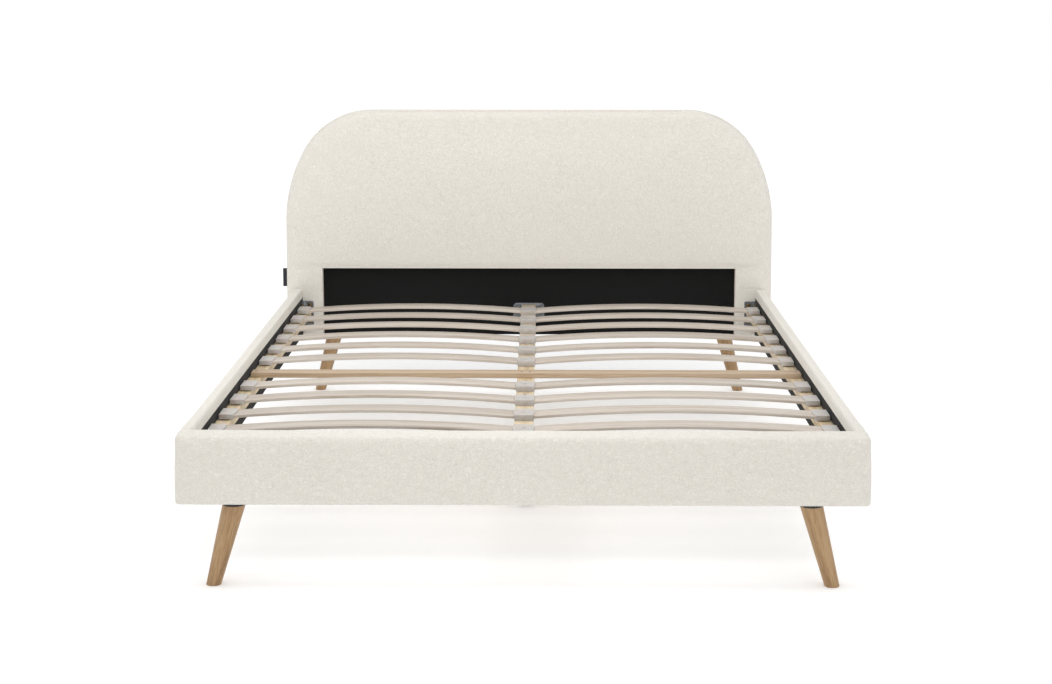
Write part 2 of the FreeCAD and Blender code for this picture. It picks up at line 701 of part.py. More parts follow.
def slat_ledge():
    """The right ledge: a batten screwed along the side rail, bored for the end caps' pegs."""
    batten = block(
        "ledge_batten",
        (f"{INNER_X} - sizes.ledge_width", INNER_X),
        (f"{FOOT_Y} + sizes.ledge_end_gap", f"{HEAD_Y} - sizes.ledge_end_gap"),
        (f"{SUPPORT_Z} - sizes.ledge_height", SUPPORT_Z),
    )
    eased = rounded(
        "ledge_eased",
        batten,
        ("sizes.timber_easing", lambda m, d: along_y(d) and at(m.x, f"{INNER_X} - sizes.ledge_width")),
    )
    counterbores = holes(
        "ledge_counterbores",
        "sizes.screw_head_radius + sizes.fixing_gap",
        LEDGE_SCREWS,
        "0",
        number("sizes.ledge_screw_depth + 1"),
    )
    return cut(
        "right_slat_ledge",
        eased,
        LEDGE_SCREW_HOLES,
        countersinks("ledge_sinks", LEDGE_SCREWS),
        counterbores,
        peg_holes("ledge_peg_holes", CAP_PEG_X, ROW_PLACES),
        CROSSBAR_HOLES,
    )


right_rail_board, right_rail_foam, right_rail_cover, right_rail_lining = side_rail()
right_slat_ledge = slat_ledge()
SIDE_PIECES = (right_rail_board, right_rail_foam, right_rail_cover, right_rail_lining, right_slat_ledge)
left_pieces = [mirrored(piece.Label.replace("right", "left"), piece) for piece in SIDE_PIECES]


# Foot rail

FOOT_CORE_X = f"({OUTER_X} - sizes.cover)"
FOOT_CORE_Y = (f"{FRONT_Y} + sizes.cover", f"{FOOT_Y} - sizes.lining")
FOOT_BOARD_X = f"({FOOT_CORE_X} - sizes.side_foam)"


def foot_rounding(half_x, front_y, back_y, top_z, low_z, outer, back, low):
    """The edges of the foot rail, apart from its bottom and upright back ones."""

    def at_end(middle):
        return at(abs(middle.x), half_x)

    return (
        (outer, lambda m, d: at(m.z, top_z) and (at(m.y, front_y) or at_end(m))),
        (outer, lambda m, d: abs(d.z) > 0.99 and at_end(m) and at(m.y, front_y)),
        (back, lambda m, d: at(m.z, top_z) and at(m.y, back_y)),
        (low, lambda m, d: at(m.z, low_z) and (at(m.y, front_y) or at_end(m))),
    )


def foot_rail():
    """The foot rail's four layers."""
    board_block = block(
        "foot_board_block",
        (f"-{FOOT_BOARD_X}", FOOT_BOARD_X),
        (f"{FRONT_Y} + sizes.cover + sizes.foot_foam", FOOT_CORE_Y[1]),
        (BOARD_LOW_Z, BOARD_TOP_Z),
    )
    board = cut(
        "foot_rail_board", board_block, FOOT_BOLT_HOLES, FOOT_HANGER_HOLES, FRONT_PLATE_HOLES,
        *front_leg_holes,
    )
    core_block = block(
        "foot_core_block",
        (f"-{FOOT_CORE_X}", FOOT_CORE_X),
        FOOT_CORE_Y,
        (BOARD_LOW_Z, f"{TOP_Z} - sizes.cover"),
    )
    core = rounded(
        "foot_core",
        core_block,
        *foot_rounding(
            FOOT_CORE_X, FOOT_CORE_Y[0], FOOT_CORE_Y[1], f"{TOP_Z} - sizes.cover", BOARD_LOW_Z,
            FOAM_ROUND, f"{INNER_ROUND} - sizes.lining", f"{BOTTOM_ROUND} - sizes.cover",
        ),
    )
    foam = cut("foot_rail_foam", core, board_block)
    outer_block = block("foot_outer_block", (f"-{OUTER_X}", OUTER_X), (FRONT_Y, FOOT_Y), (LOW_Z, TOP_Z))
    outer = rounded(
        "foot_outer",
        outer_block,
        *foot_rounding(
            OUTER_X, FRONT_Y, FOOT_Y, TOP_Z, LOW_Z, "sizes.rail_round", INNER_ROUND, BOTTOM_ROUND
        ),
    )
    window = block(
        "foot_window",
        (f"-{INNER_X}", INNER_X),
        (f"{FOOT_Y} - sizes.lining", f"{FOOT_Y} + 1"),
        (BOARD_LOW_Z, HEM_Z),
    )
    cover = cut(
        "foot_rail_cover", outer, core, board_block, window, FRONT_PLATE_HOLES, *front_leg_holes
    )
    lining_block = block(
        "foot_lining_block",
        (f"-{INNER_X}", INNER_X),
        (f"{FOOT_Y} - sizes.lining", FOOT_Y),
        (BOARD_LOW_Z, HEM_Z),
    )
    lining = cut(
        "foot_rail_lining", lining_block, FOOT_BOLT_HOLES, FOOT_HANGER_HOLES, FOOT_HANGER_SINKS
    )
    return board, foam, cover, lining


FOOT_PIECES = foot_rail()


# Headboard

def arch(label, inset, low_z, y):
    """The headboard's arched outline, drawn in by an inset, made solid between two depths."""
    half = f"({HEADBOARD_X} - {inset})"
    top = f"(sizes.headboard_top - {inset})"
    side_radius = f"(sizes.corner_side_radius - {inset})"
    top_radius = f"(sizes.corner_top_radius - {inset})"
    spring = "(sizes.headboard_top - sizes.corner_height)"
    rise = (
        "((sizes.corner_height - sizes.corner_top_radius)"
        " / (sizes.corner_side_radius - sizes.corner_top_radius))"
    )
    run = f"sqrt(1 - {rise} ^ 2)"
    join_x = f"({half} - {side_radius} + {side_radius} * {run})"
    join_z = f"({spring} + {side_radius} * {rise})"
    flat_x = f"({half} - {side_radius} + (sizes.corner_side_radius - sizes.corner_top_radius) * {run})"
    corners = (
        (f"-{half}", low_z),
        (half, low_z),
        (half, spring),
        (join_x, join_z),
        (flat_x, top),
        (f"-{flat_x}", top),
        (f"-{join_x}", join_z),
        (f"-{half}", spring),
    )
    arcs = {2: (side_radius, 1), 3: (top_radius, 1), 5: (top_radius, 1), 6: (side_radius, 1)}
    body = doc.addObject("PartDesign::Body", label)
    sketch = outline(body, f"{label}_outline", "XZ_Plane", corners, arcs)
    pad(body, sketch, f"({y[1]}) - ({y[0]})")
    place(body, "0", f"(({y[0]}) + ({y[1]})) / 2", "0")
    return body


def arch_front_edges(depth, low_z):
    """The edges of an arch at one depth, apart from the straight bottom one."""
    return lambda m, d: at(m.y, depth) and not at(m.z, low_z)


def headboard():
    """The headboard's layers, from the cover back to the lining."""
    overrun = "0.5"
    foam_y = (f"{HEAD_Y} + sizes.cover", FOAM_BACK_Y)
    foam_arch = arch("foam_arch", "sizes.cover", BOARD_LOW_Z, foam_y)
    soft_arch = rounded(
        "foam_soft_arch",
        foam_arch,
        (HEADBOARD_FOAM_ROUND, arch_front_edges(foam_y[0], BOARD_LOW_Z)),
    )
    recess = block(
        "foam_recess",
        (f"-({PANEL_X} + sizes.cover)", f"{PANEL_X} + sizes.cover"),
        (f"{HEAD_Y} - 1", f"{FOAM_BACK_Y} + 1"),
        ("0", "sizes.panel_top + sizes.cover"),
    )
    foam_whole = cut("foam_whole", soft_arch, recess)
    foam = cut("headboard_foam", foam_whole, HEAD_BOLT_HOLES)
    cover_arch = arch("cover_arch", "0", LOW_Z, (HEAD_Y, BACK_Y))
    soft_cover = rounded(
        "cover_soft_arch",
        cover_arch,
        (f"{HEADBOARD_FOAM_ROUND} + sizes.cover", arch_front_edges(HEAD_Y, LOW_Z)),
        ("sizes.back_round", arch_front_edges(BACK_Y, LOW_Z)),
    )
    hollow = arch("cover_hollow", "sizes.cover", BOARD_LOW_Z, (FOAM_BACK_Y, f"{BACK_Y} - sizes.cover"))
    opening = block(
        "cover_opening",
        (f"-{PANEL_X}", PANEL_X),
        (f"{HEAD_Y} - 1", FOAM_BACK_Y),
        ("0", "sizes.panel_top"),
    )
    back_window = arch(
        "cover_back_window",
        "sizes.back_hem",
        f"{LOW_Z} + sizes.back_hem",
        (f"{BACK_Y} - sizes.cover - {overrun}", f"{BACK_Y} + {overrun}"),
    )
    cover = cut(
        "headboard_cover", soft_cover, foam_whole, hollow, opening, back_window, HEAD_BOLT_HOLES,
        REAR_PLATE_HOLES, *rear_leg_holes,
    )
    board_arch = arch("board_arch", "sizes.cover", BOARD_LOW_Z, (FOAM_BACK_Y, FRAME_FRONT_Y))
    panel = cut("headboard_panel", board_arch, HEAD_BOLT_HOLES, HEAD_HANGER_HOLES)
    frame_arch = arch("frame_arch", "sizes.cover", BOARD_LOW_Z, (FRAME_FRONT_Y, FRAME_BACK_Y))
    through = (f"{FRAME_FRONT_Y} - 1", f"{FRAME_BACK_Y} + 1")
    post_x = f"({HEADBOARD_X} - sizes.cover - sizes.post_width)"
    lower_window = block(
        "frame_lower_window",
        (f"-{post_x}", post_x),
        through,
        (f"{BOARD_LOW_Z} + sizes.bottom_rail_height", "sizes.middle_rail_low"),
    )
    upper_x = f"({HEADBOARD_X} - sizes.cover - sizes.upper_post_width)"
    upper_z = ("sizes.middle_rail_low + sizes.middle_rail_height", "sizes.upper_window_top")
    upper_windows = [
        block(
            f"frame_upper_window_{name}",
            (low, high),
            through,
            upper_z,
        )
        for name, low, high in (
            ("left", f"-{upper_x}", "-sizes.stile_width / 2"),
            ("right", "sizes.stile_width / 2", upper_x),
        )
    ]
    frame = cut(
        "headboard_frame", frame_arch, lower_window, *upper_windows, HEAD_BOLT_HOLES,
        HEAD_HANGER_HOLES, REAR_PLATE_HOLES, *rear_leg_holes,
    )
    front_lining_block = block(
        "front_lining_block",
        (f"-{PANEL_X}", PANEL_X),
        (f"{FOAM_BACK_Y} - sizes.lining", FOAM_BACK_Y),
        (LOW_Z, "sizes.panel_top"),
    )
    front_lining = cut(
        "headboard_front_lining", front_lining_block, HEAD_HANGER_HOLES, HEAD_HANGER_SINKS
    )
    back_lining = arch(
        "headboard_back_lining", "sizes.cover", BOARD_LOW_Z, (FRAME_BACK_Y, f"{BACK_Y} - sizes.cover")
    )
    label = block(
        "side_label",
        (f"-{HEADBOARD_X} - sizes.label_reach", f"-{HEADBOARD_X}"),
        (f"{HEAD_Y} + sizes.label_set_back", f"{HEAD_Y} + sizes.label_set_back + sizes.label_thickness"),
        ("sizes.label_low", "sizes.label_low + sizes.label_height"),
    )
    return frame, panel, foam, cover, front_lining, back_lining, label


HEADBOARD_PIECES = headboard()


# Centre beam, its hangers and the flat crossbar

BEAM_Y = (f"{FOOT_HANGER_Y} + sizes.beam_gap", f"{HEAD_HANGER_Y} - sizes.beam_gap")
BEAM_X = ("-sizes.beam_width / 2", "sizes.beam_width / 2")
beam_block = block("beam_block", BEAM_X, BEAM_Y, (BEAM_LOW_Z, SUPPORT_Z))
centre_beam = cut(
    "centre_beam", beam_block, CENTRE_BOLT_HOLES, peg_holes("beam_peg_holes", "0", ROW_PLACES),
    CROSSBAR_HOLES,
)


def beam_hanger(label, plate_y, tray_y, screw_holes):
    """A plate with cut corners and a tray that carries one end of the beam."""
    plate_low = f"({BEAM_LOW_Z} - sizes.beam_gap - sizes.hanger_plate)"
    plate_top = f"({SUPPORT_Z} + sizes.hanger_rise)"
    half = "sizes.hanger_half_width"
    nip = "sizes.hanger_chamfer"
    corners = (
        (f"-{half}", plate_low),
        (half, plate_low),
        (half, f"{plate_top} - {nip}"),
        (f"{half} - {nip}", plate_top),
        (f"-{half} + {nip}", plate_top),
        (f"-{half}", f"{plate_top} - {nip}"),
    )
    plate = doc.addObject("PartDesign::Body", f"{label}_plate")
    sketch = outline(plate, f"{label}_plate_outline", "XZ_Plane", corners)
    pad(plate, sketch, "sizes.hanger_plate")
    place(plate, "0", f"({plate_y[0]} + {plate_y[1]}) / 2", "0")
    room = "(sizes.beam_width / 2 + sizes.beam_gap)"
    wall = f"({room} + sizes.hanger_plate)"
    tray = block(
        f"{label}_tray", (f"-{wall}", wall), tray_y, (plate_low, f"{SUPPORT_Z} - sizes.beam_height / 4")
    )
    inside = block(
        f"{label}_inside", (f"-{room}", room), tray_y, (f"{BEAM_LOW_Z} - sizes.beam_gap", f"{SUPPORT_Z} + 1")
    )
    trough = cut(f"{label}_trough", tray, inside)
    joined = fuse(f"{label}_joined", plate, trough)
    return cut(label, joined, *screw_holes)


head_hanger = beam_hanger(
    "head_hanger",
    (HEAD_HANGER_Y, f"{HEAD_HANGER_Y} + sizes.hanger_plate"),
    (f"{HEAD_HANGER_Y} - sizes.hanger_reach", HEAD_HANGER_Y),
    (HEAD_HANGER_HOLES, HEAD_HANGER_SINKS),
)
foot_hanger = beam_hanger(
    "foot_hanger",
    (FOOT_Y, FOOT_HANGER_Y),
    (FOOT_HANGER_Y, f"{FOOT_HANGER_Y} + sizes.hanger_reach"),
    (FOOT_HANGER_HOLES, FOOT_HANGER_SINKS),
)
beam_hangers = gathered("beam_hangers", head_hanger, foot_hanger)


def flat_crossbar():
    """The flat bar that ties the ledges and the beam together."""
    middle_y = row_y(CROSSBAR_ROW)
    bar = block(
        "crossbar_block",
        (f"-({INNER_X} - sizes.crossbar_end_gap)", f"{INNER_X} - sizes.crossbar_end_gap"),
        (f"{middle_y} - sizes.crossbar_width / 2", f"{middle_y} + sizes.crossbar_width / 2"),
        (SUPPORT_Z, f"{SUPPORT_Z} + sizes.crossbar_thickness"),
    )
    return cut("flat_crossbar", bar, CROSSBAR_HOLES, countersinks("crossbar_sinks", CROSSBAR_SCREWS))


crossbar = flat_crossbar()


# Sprung slats and their holders

INNER_SEAT = f"(sizes.clip_half_length + sizes.lip_point - {SLAT_INNER_X} + 1)"
OUTER_SEAT = f"({SLAT_OUTER_X} - {CAP_INNER_X} + sizes.lip_point + 1)"


def slat(label, side, index):
    """A sprung slat, bowed upwards between its two flat ends. side is 1 on the right and -1 on the left."""
    ends = [
        SLAT_INNER_X,
        f"({SLAT_INNER_X} + {INNER_SEAT})",
        f"({SLAT_OUTER_X} - {OUTER_SEAT})",
        SLAT_OUTER_X,
    ]
    if side < 0:
        ends = [f"(-{x})" for x in reversed(ends)]
    top = f"({SLAT_Z} + sizes.slat_thickness)"
    half_chord = f"(({SLAT_OUTER_X} - {OUTER_SEAT} - {SLAT_INNER_X} - {INNER_SEAT}) / 2)"
    radius = f"(({half_chord} ^ 2 + sizes.slat_rise ^ 2) / (2 * sizes.slat_rise))"
    corners = [(x, SLAT_Z) for x in ends] + [(x, top) for x in reversed(ends)]
    body = doc.addObject("PartDesign::Body", label)
    sketch = outline(body, f"{label}_section", "XZ_Plane", corners, {1: (radius, -1), 5: (radius, 1)})
    pad(body, sketch, "sizes.slat_width")
    place(body, "0", row_y(index), "0")
    return body


slats = []
for side_name, side in (("left", -1), ("right", 1)):
    for count, index in enumerate(SLAT_ROWS, start=1):
        slats.append(slat(f"{side_name}_slat_{count:02d}", side, index))


def holder_blank(label, corners, low_z):
    """The outside of a slat holder: a pointed outline made solid, with its top edge eased."""
    body = doc.addObject("PartDesign::Body", f"{label}_blank")
    sketch = outline(body, f"{label}_outline", "XY_Plane", corners)
    pad(body, sketch, f"{HOLDER_TOP_Z} - {low_z}")
    place(body, "0", "0", f"({HOLDER_TOP_Z} + {low_z}) / 2")
    return rounded(f"{label}_eased", body, ("sizes.holder_easing", lambda m, d: at(m.z, HOLDER_TOP_Z)))


def slat_room(label, x):
    """The socket for a slat's end."""
    half = "(sizes.slat_width / 2 + sizes.holder_gap)"
    return block(
        label,
        x,
        (f"-{half}", half),
        (f"{SLAT_Z} - sizes.holder_gap", f"{SLAT_Z} + sizes.slat_thickness + sizes.holder_gap"),
    )


def end_cap():
    """One end cap, at the right-hand end of a row that lies at Y = 0."""
    half = HOLDER_HALF_Y
    corners = (
        (CAP_INNER_X, f"-{half}"),
        (CAP_OUTER_X, f"-{half}"),
        (CAP_OUTER_X, half),
        (CAP_INNER_X, half),
        (f"{CAP_INNER_X} - sizes.lip_point", "0"),
    )
    blank = holder_blank("end_cap", corners, HOLDER_BOTTOM_Z)
    room = slat_room("end_cap_room", (f"{CAP_INNER_X} - 10", f"{CAP_OUTER_X} - sizes.holder_wall"))
    sleeve = cut("end_cap_sleeve", blank, room)
    peg = cylinder(
        "end_cap_peg",
        "sizes.peg_radius",
        "sizes.peg_depth + sizes.holder_foot + 1",
        CAP_PEG_X,
        "0",
        f"{SUPPORT_Z} - sizes.peg_depth",
    )
    collar = cylinder(
        "end_cap_collar", "sizes.peg_radius * 2", "sizes.holder_foot + 1", CAP_PEG_X, "0", SUPPORT_Z
    )
    return fuse("end_cap", sleeve, peg, collar)


def centre_clip():
    """One centre clip, which joins the two slats of a row that lies at Y = 0."""
    half = HOLDER_HALF_Y
    side = "sizes.clip_half_length"
    tip = "(sizes.clip_half_length + sizes.lip_point)"
    corners = (
        (f"-{side}", f"-{half}"),
        (side, f"-{half}"),
        (tip, "0"),
        (side, half),
        (f"-{side}", half),
        (f"-{tip}", "0"),
    )
    blank = holder_blank("centre_clip", corners, SUPPORT_Z)
    right_room = slat_room("clip_right_room", ("sizes.clip_web", f"{tip} + 10"))
    left_room = slat_room("clip_left_room", (f"-{tip} - 10", "-sizes.clip_web"))
    dimple = cylinder(
        "clip_dimple", "sizes.peg_radius", "sizes.holder_wall", "0", "0",
        f"{HOLDER_TOP_Z} - sizes.holder_wall / 2",
    )
    sleeve = cut("clip_sleeve", blank, right_room, left_room, dimple)
    rib = block(
        "clip_rib",
        ("-sizes.clip_rib / 2", "sizes.clip_rib / 2"),
        (f"-{half} - 1", f"-{half} + 1"),
        (SUPPORT_Z, f"{HOLDER_TOP_Z} - sizes.holder_wall"),
    )
    peg = cylinder(
        "clip_peg", "sizes.peg_radius", "sizes.peg_depth + 1", "0", "0", f"{SUPPORT_Z} - sizes.peg_depth"
    )
    return fuse("centre_clip", sleeve, rib, peg)


def along_rows(label, master, mirror=False):
    """Copies of a slat holder in every row, and on both sides if asked."""
    doc.recompute()
    shapes = []
    for y in ROW_PLACES:
        shape = master.Shape.copy()
        shape.translate(Vector(0, number(y), 0))
        shapes.append(shape)
        if mirror:
            shapes.append(shape.mirror(Vector(), X_AXIS))
    return group(label, shapes)


slat_end_caps = along_rows("slat_end_caps", end_cap(), mirror=True)
centre_clips = along_rows("centre_clips", centre_clip())


# Centre legs and their screw feet

def centre_leg(label, y):
    """A round leg under the beam, bored for the beam's bolt above and for the foot's stud below."""
    radius = "sizes.centre_leg_radius"
    bore = "(sizes.stud_radius + sizes.stud_gap)"
    bore_top = f"({CENTRE_LEG_LOW_Z} + sizes.stud_length + 5)"
    bolt = f"({BOLT_HOLE})"
    bolt_low = f"({SUPPORT_Z} - sizes.headboard_bolt_length - 1)"
    corners = (
        (bore, CENTRE_LEG_LOW_Z),
        (f"{radius} - 1", CENTRE_LEG_LOW_Z),
        (radius, f"{CENTRE_LEG_LOW_Z} + 1"),
        (radius, BEAM_LOW_Z),
        (bolt, BEAM_LOW_Z),
        (bolt, bolt_low),
        ("0", bolt_low),
        ("0", bore_top),
        (bore, bore_top),
    )
    body = turned(label, corners)
    place(body, "0", y, "0")
    return body


def centre_foot(label, y):
    """A screw foot: a round pad with its stud, wound right in."""
    low = "sizes.foot_travel"
    top = f"({low} + sizes.foot_pad_height)"
    radius = "sizes.foot_pad_radius"
    stud = "sizes.stud_radius"
    corners = (
        ("0", low),
        (f"{radius} - 1.5", low),
        (radius, f"{low} + 1.5"),
        (radius, f"{top} - 3"),
        (f"{radius} - 3", top),
        (stud, top),
        (stud, f"{top} + sizes.stud_length - 1"),
        (f"{stud} - 1", f"{top} + sizes.stud_length"),
        ("0", f"{top} + sizes.stud_length"),
    )
    body = turned(label, corners)
    place(body, "0", y, "0")
    return body


REAR_CENTRE_Y = f"({HEAD_Y} - sizes.centre_leg_head)"
FRONT_CENTRE_Y = f"({REAR_CENTRE_Y} - sizes.centre_leg_pitch)"
centre_legs = [
    centre_leg("rear_centre_leg", REAR_CENTRE_Y),
    centre_leg("front_centre_leg", FRONT_CENTRE_Y),
]
centre_feet = [
    centre_foot("rear_centre_foot", REAR_CENTRE_Y),
    centre_foot("front_centre_foot", FRONT_CENTRE_Y),
]


# Corner brackets

def corner_bracket(label, end_y, way):
    """A right-hand angle bracket. way is 1 where it reaches from the end face towards +Y."""
    reach = f"({end_y} + {way} * sizes.bracket_wing)"
    sheet = f"({end_y} + {way} * sizes.bracket_sheet)"
    height = ("sizes.bracket_low", "sizes.bracket_low + sizes.bracket_height")
    side_y = (end_y, reach) if way > 0 else (reach, end_y)
    end_span = (end_y, sheet) if way > 0 else (sheet, end_y)
    side_wing = block(f"{label}_side_wing", (f"{INNER_X} - sizes.bracket_sheet", INNER_X), side_y, height)
    end_wing = block(f"{label}_end_wing", (f"{INNER_X} - sizes.bracket_wing", INNER_X), end_span, height)
    angle = fuse(f"{label}_angle", side_wing, end_wing)
    soft = rounded(
        f"{label}_soft",
        angle,
        ("sizes.bracket_round", lambda m, d: abs(d.x) > 0.99 and at(m.y, reach)),
        (
            "sizes.bracket_round",
            lambda m, d: abs(d.y) > 0.99 and at(m.x, f"{INNER_X} - sizes.bracket_wing"),
        ),
    )
    end_holes = HEAD_BOLT_HOLES if way < 0 else FOOT_BOLT_HOLES
    return cut(label, soft, SIDE_BOLT_HOLES, end_holes)


head_bracket = corner_bracket("head_bracket", HEAD_Y, -1)
foot_bracket = corner_bracket("foot_bracket", FOOT_Y, 1)
corner_brackets = gathered(
    "corner_brackets",
    head_bracket,
    mirrored("left_head_bracket", head_bracket),
    foot_bracket,
    mirrored("left_foot_bracket", foot_bracket),
)


# Screws and bolts, each modelled once with its head up and its shank along -Z

def wood_screw():
    """A countersunk wood screw. Its origin is in the middle of its flat head."""
    shank = "sizes.screw_radius"
    corners = (
        ("0", "0"),
        ("0", "-sizes.screw_length"),
        (shank, "-(sizes.screw_length - sizes.screw_point)"),
        (shank, "-sizes.screw_head_height"),
        ("sizes.screw_head_radius", "-0.4"),
        ("sizes.screw_head_radius", "0"),
    )
    return turned("wood_screw", corners)


def machine_bolt(label, length):
    """A button-head bolt with a hexagon socket. Its origin is under its head."""
    shank = "sizes.bolt_radius"
    head = "sizes.bolt_head_radius"
    height = "sizes.bolt_head_height"
    corners = (
        ("0", f"-{length}"),
        (f"{shank} - 1", f"-{length}"),
        (shank, f"-({length} - 1)"),
        (shank, "0"),
        (head, "0"),
        (head, f"{height} / 4"),
        (f"{head} * 0.6", height),
        ("0", height),
    )
    blank = turned(f"{label}_blank", corners)
    socket = doc.addObject("Part::Prism", f"{label}_socket")
    socket.Polygon = 6
    socket.setExpression("Circumradius", "sizes.bolt_radius * 0.7")
    socket.setExpression("Height", height)
    place(socket, "0", "0", f"{height} / 3")
    return cut(label, blank, socket)


screw = wood_screw()
rail_bolt = machine_bolt("rail_bolt", "sizes.rail_bolt_length")
long_bolt = machine_bolt("headboard_bolt", "sizes.headboard_bolt_length")

SCREW_PLACES = (
    LEDGE_SCREWS + across(LEDGE_SCREWS) + HEAD_HANGER_SCREWS + FOOT_HANGER_SCREWS
    + CROSSBAR_SCREWS + FRONT_PLATE_SCREWS + REAR_PLATE_SCREWS
)
wood_screws = group("wood_screws", copies(screw, SCREW_PLACES))
rail_bolts = group("rail_bolts", copies(rail_bolt, SIDE_BOLTS + across(SIDE_BOLTS) + FOOT_BOLTS))
headboard_bolts = group("headboard_bolts", copies(long_bolt, HEAD_BOLTS + CENTRE_BOLTS))


NODES = (
    *HEADBOARD_PIECES,
    *SIDE_PIECES,
    *left_pieces,
    *FOOT_PIECES,
    corner_brackets,
    rail_bolts,
    headboard_bolts,
    wood_screws,
    centre_beam,
    beam_hangers,
    crossbar,
    *slats,
    slat_end_caps,
    centre_clips,
    front_left_leg,
    front_right_leg,
    rear_left_leg,
    rear_right_leg,
    leg_plates,
    leg_bolts,
    *centre_legs,
    *centre_feet,
)

doc.recompute()
for item in doc.Objects:
    if "Invalid" in item.State or "Error" in item.State:
        raise RuntimeError(f"{item.Label} did not build: {item.State}")
for node in NODES:
    if node.Shape.isNull() or not node.Shape.isValid():
        raise RuntimeError(f"{node.Label} has no valid shape")
    if not node.Shape.Solids:
        raise RuntimeError(f"{node.Label} holds no solid")

os.makedirs("parts", exist_ok=True)
for node in NODES:
    node.Shape.exportStep(f"parts/{node.Label}.step")
print(len(NODES), "nodes,", sum(len(node.Shape.Solids) for node in NODES), "solids")
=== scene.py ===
"""Looks of the upholstered headboard bed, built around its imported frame.

Metres, +Z up, +Y to the headboard.
"""
import bpy
import bmesh
import math
import numpy as np
from mathutils import Matrix, Vector


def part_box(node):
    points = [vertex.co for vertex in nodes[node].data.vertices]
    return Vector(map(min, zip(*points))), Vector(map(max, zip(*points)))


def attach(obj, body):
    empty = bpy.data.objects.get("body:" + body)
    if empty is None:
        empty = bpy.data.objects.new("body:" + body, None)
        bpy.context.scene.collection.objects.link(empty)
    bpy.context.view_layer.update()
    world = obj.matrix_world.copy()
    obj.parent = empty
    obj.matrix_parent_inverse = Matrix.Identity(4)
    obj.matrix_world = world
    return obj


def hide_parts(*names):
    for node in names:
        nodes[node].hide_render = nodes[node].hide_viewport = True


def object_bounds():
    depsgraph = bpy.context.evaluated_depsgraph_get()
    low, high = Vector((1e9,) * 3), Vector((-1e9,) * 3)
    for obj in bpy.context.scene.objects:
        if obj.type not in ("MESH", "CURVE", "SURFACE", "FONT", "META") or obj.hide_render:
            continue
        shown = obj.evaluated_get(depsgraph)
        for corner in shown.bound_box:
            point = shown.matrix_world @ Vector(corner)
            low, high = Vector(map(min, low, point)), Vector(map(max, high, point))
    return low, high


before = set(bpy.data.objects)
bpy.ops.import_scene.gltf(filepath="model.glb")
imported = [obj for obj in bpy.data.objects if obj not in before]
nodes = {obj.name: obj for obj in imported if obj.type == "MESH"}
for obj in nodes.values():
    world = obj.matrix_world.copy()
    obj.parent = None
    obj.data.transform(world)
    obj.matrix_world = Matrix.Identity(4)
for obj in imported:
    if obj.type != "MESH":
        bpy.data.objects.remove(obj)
cad_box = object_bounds()
MM = 0.001

# How the soft pieces are made
RAIL_VOXEL = 5.5 * MM
HEADBOARD_VOXEL = 8 * MM
SIM_FRAMES = 20
CLOTH_PRESSURE = 4
LOOP_SIZE = 4.5 * MM
LOOP_RELIEF = 0.7 * MM
COVER = 2.5 * MM
CUTTER_SLACK = 20 * MM

# Roundings of the padded pieces
RAIL_OUTER_ROUND = 16 * MM
RAIL_INNER_ROUND = 13 * MM
RAIL_END_ROUND = 16 * MM
FOOT_ROUND = 12 * MM
LOW_ROUND = 6 * MM
HEADBOARD_ROUND = 24 * MM
HEADBOARD_BACK_ROUND = 3 * MM

# Linings and label
LINING_THICKNESS = 0.7 * MM
LINING_MESH = 25 * MM
LINING_SET_BACK = 0.45 * MM
LINING_RIPPLE = 0.35 * MM
BACK_SHEET_INSET = 34 * MM
TAPE_THICKNESS = 0.3 * MM
TAPE_HALF_FOLD = 0.35 * MM
TAPE_SWAY = 0.25 * MM

# The headboard's outline: two arcs at each top corner
CORNER_HEIGHT = 0.395
CORNER_SIDE_RADIUS = 0.520
CORNER_TOP_RADIUS = 0.270
BACK_HEM = 0.040
PANEL_RECESS = 0.026


# Small helpers

def corners_of(node):
    """The lowest and highest corners of a node, as vectors."""
    low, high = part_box(node)
    return Vector(low), Vector(high)


def select_only(*objects):
    """Select these objects and nothing else, the last one active."""
    bpy.ops.object.select_all(action="DESELECT")
    for item in objects:
        item.select_set(True)
    bpy.context.view_layer.objects.active = objects[-1]


def apply_modifier(piece, kind, **settings):
    """Add a modifier, set it and apply it."""
    select_only(piece)
    modifier = piece.modifiers.new(kind.lower(), kind)
    for key, value in settings.items():
        setattr(modifier, key, value)
    bpy.ops.object.modifier_apply(modifier=modifier.name)


def new_piece(name, points, faces):
    """A mesh object from points and faces, with its normals outwards."""
    piece = open_sheet(name, points, faces)
    outwards(piece)
    return piece


def open_sheet(name, points, faces):
    """A mesh object from points and faces, left as it is."""
    mesh = bpy.data.meshes.new(name)
    mesh.from_pydata([tuple(point) for point in points], [], faces)
    piece = bpy.data.objects.new(name, mesh)
    bpy.context.collection.objects.link(piece)
    return piece


def grid_faces(columns, rows):
    """The faces of a grid whose points run along its rows."""
    stride = columns + 1
    return [
        [row * stride + i, row * stride + i + 1, (row + 1) * stride + i + 1, (row + 1) * stride + i]
        for row in range(rows) for i in range(columns)
    ]


def outwards(piece):
    """Turn all of a closed mesh's faces outwards."""
    select_only(piece)
    bpy.ops.object.mode_set(mode="EDIT")
    bpy.ops.mesh.select_all(action="SELECT")
    bpy.ops.mesh.normals_make_consistent(inside=False)
    bpy.ops.object.mode_set(mode="OBJECT")


def block(name, low, high):
    """A cube stretched between two corners, with its place in its mesh."""
    bpy.ops.object.select_all(action="DESELECT")
    centre = [(a + b) / 2 for a, b in zip(low, high)]
    bpy.ops.mesh.primitive_cube_add(size=1, location=centre)
    piece = bpy.context.active_object
    piece.name = name
    piece.scale = [b - a for a, b in zip(low, high)]
    select_only(piece)
    bpy.ops.object.transform_apply(location=True, rotation=True, scale=True)
    return piece


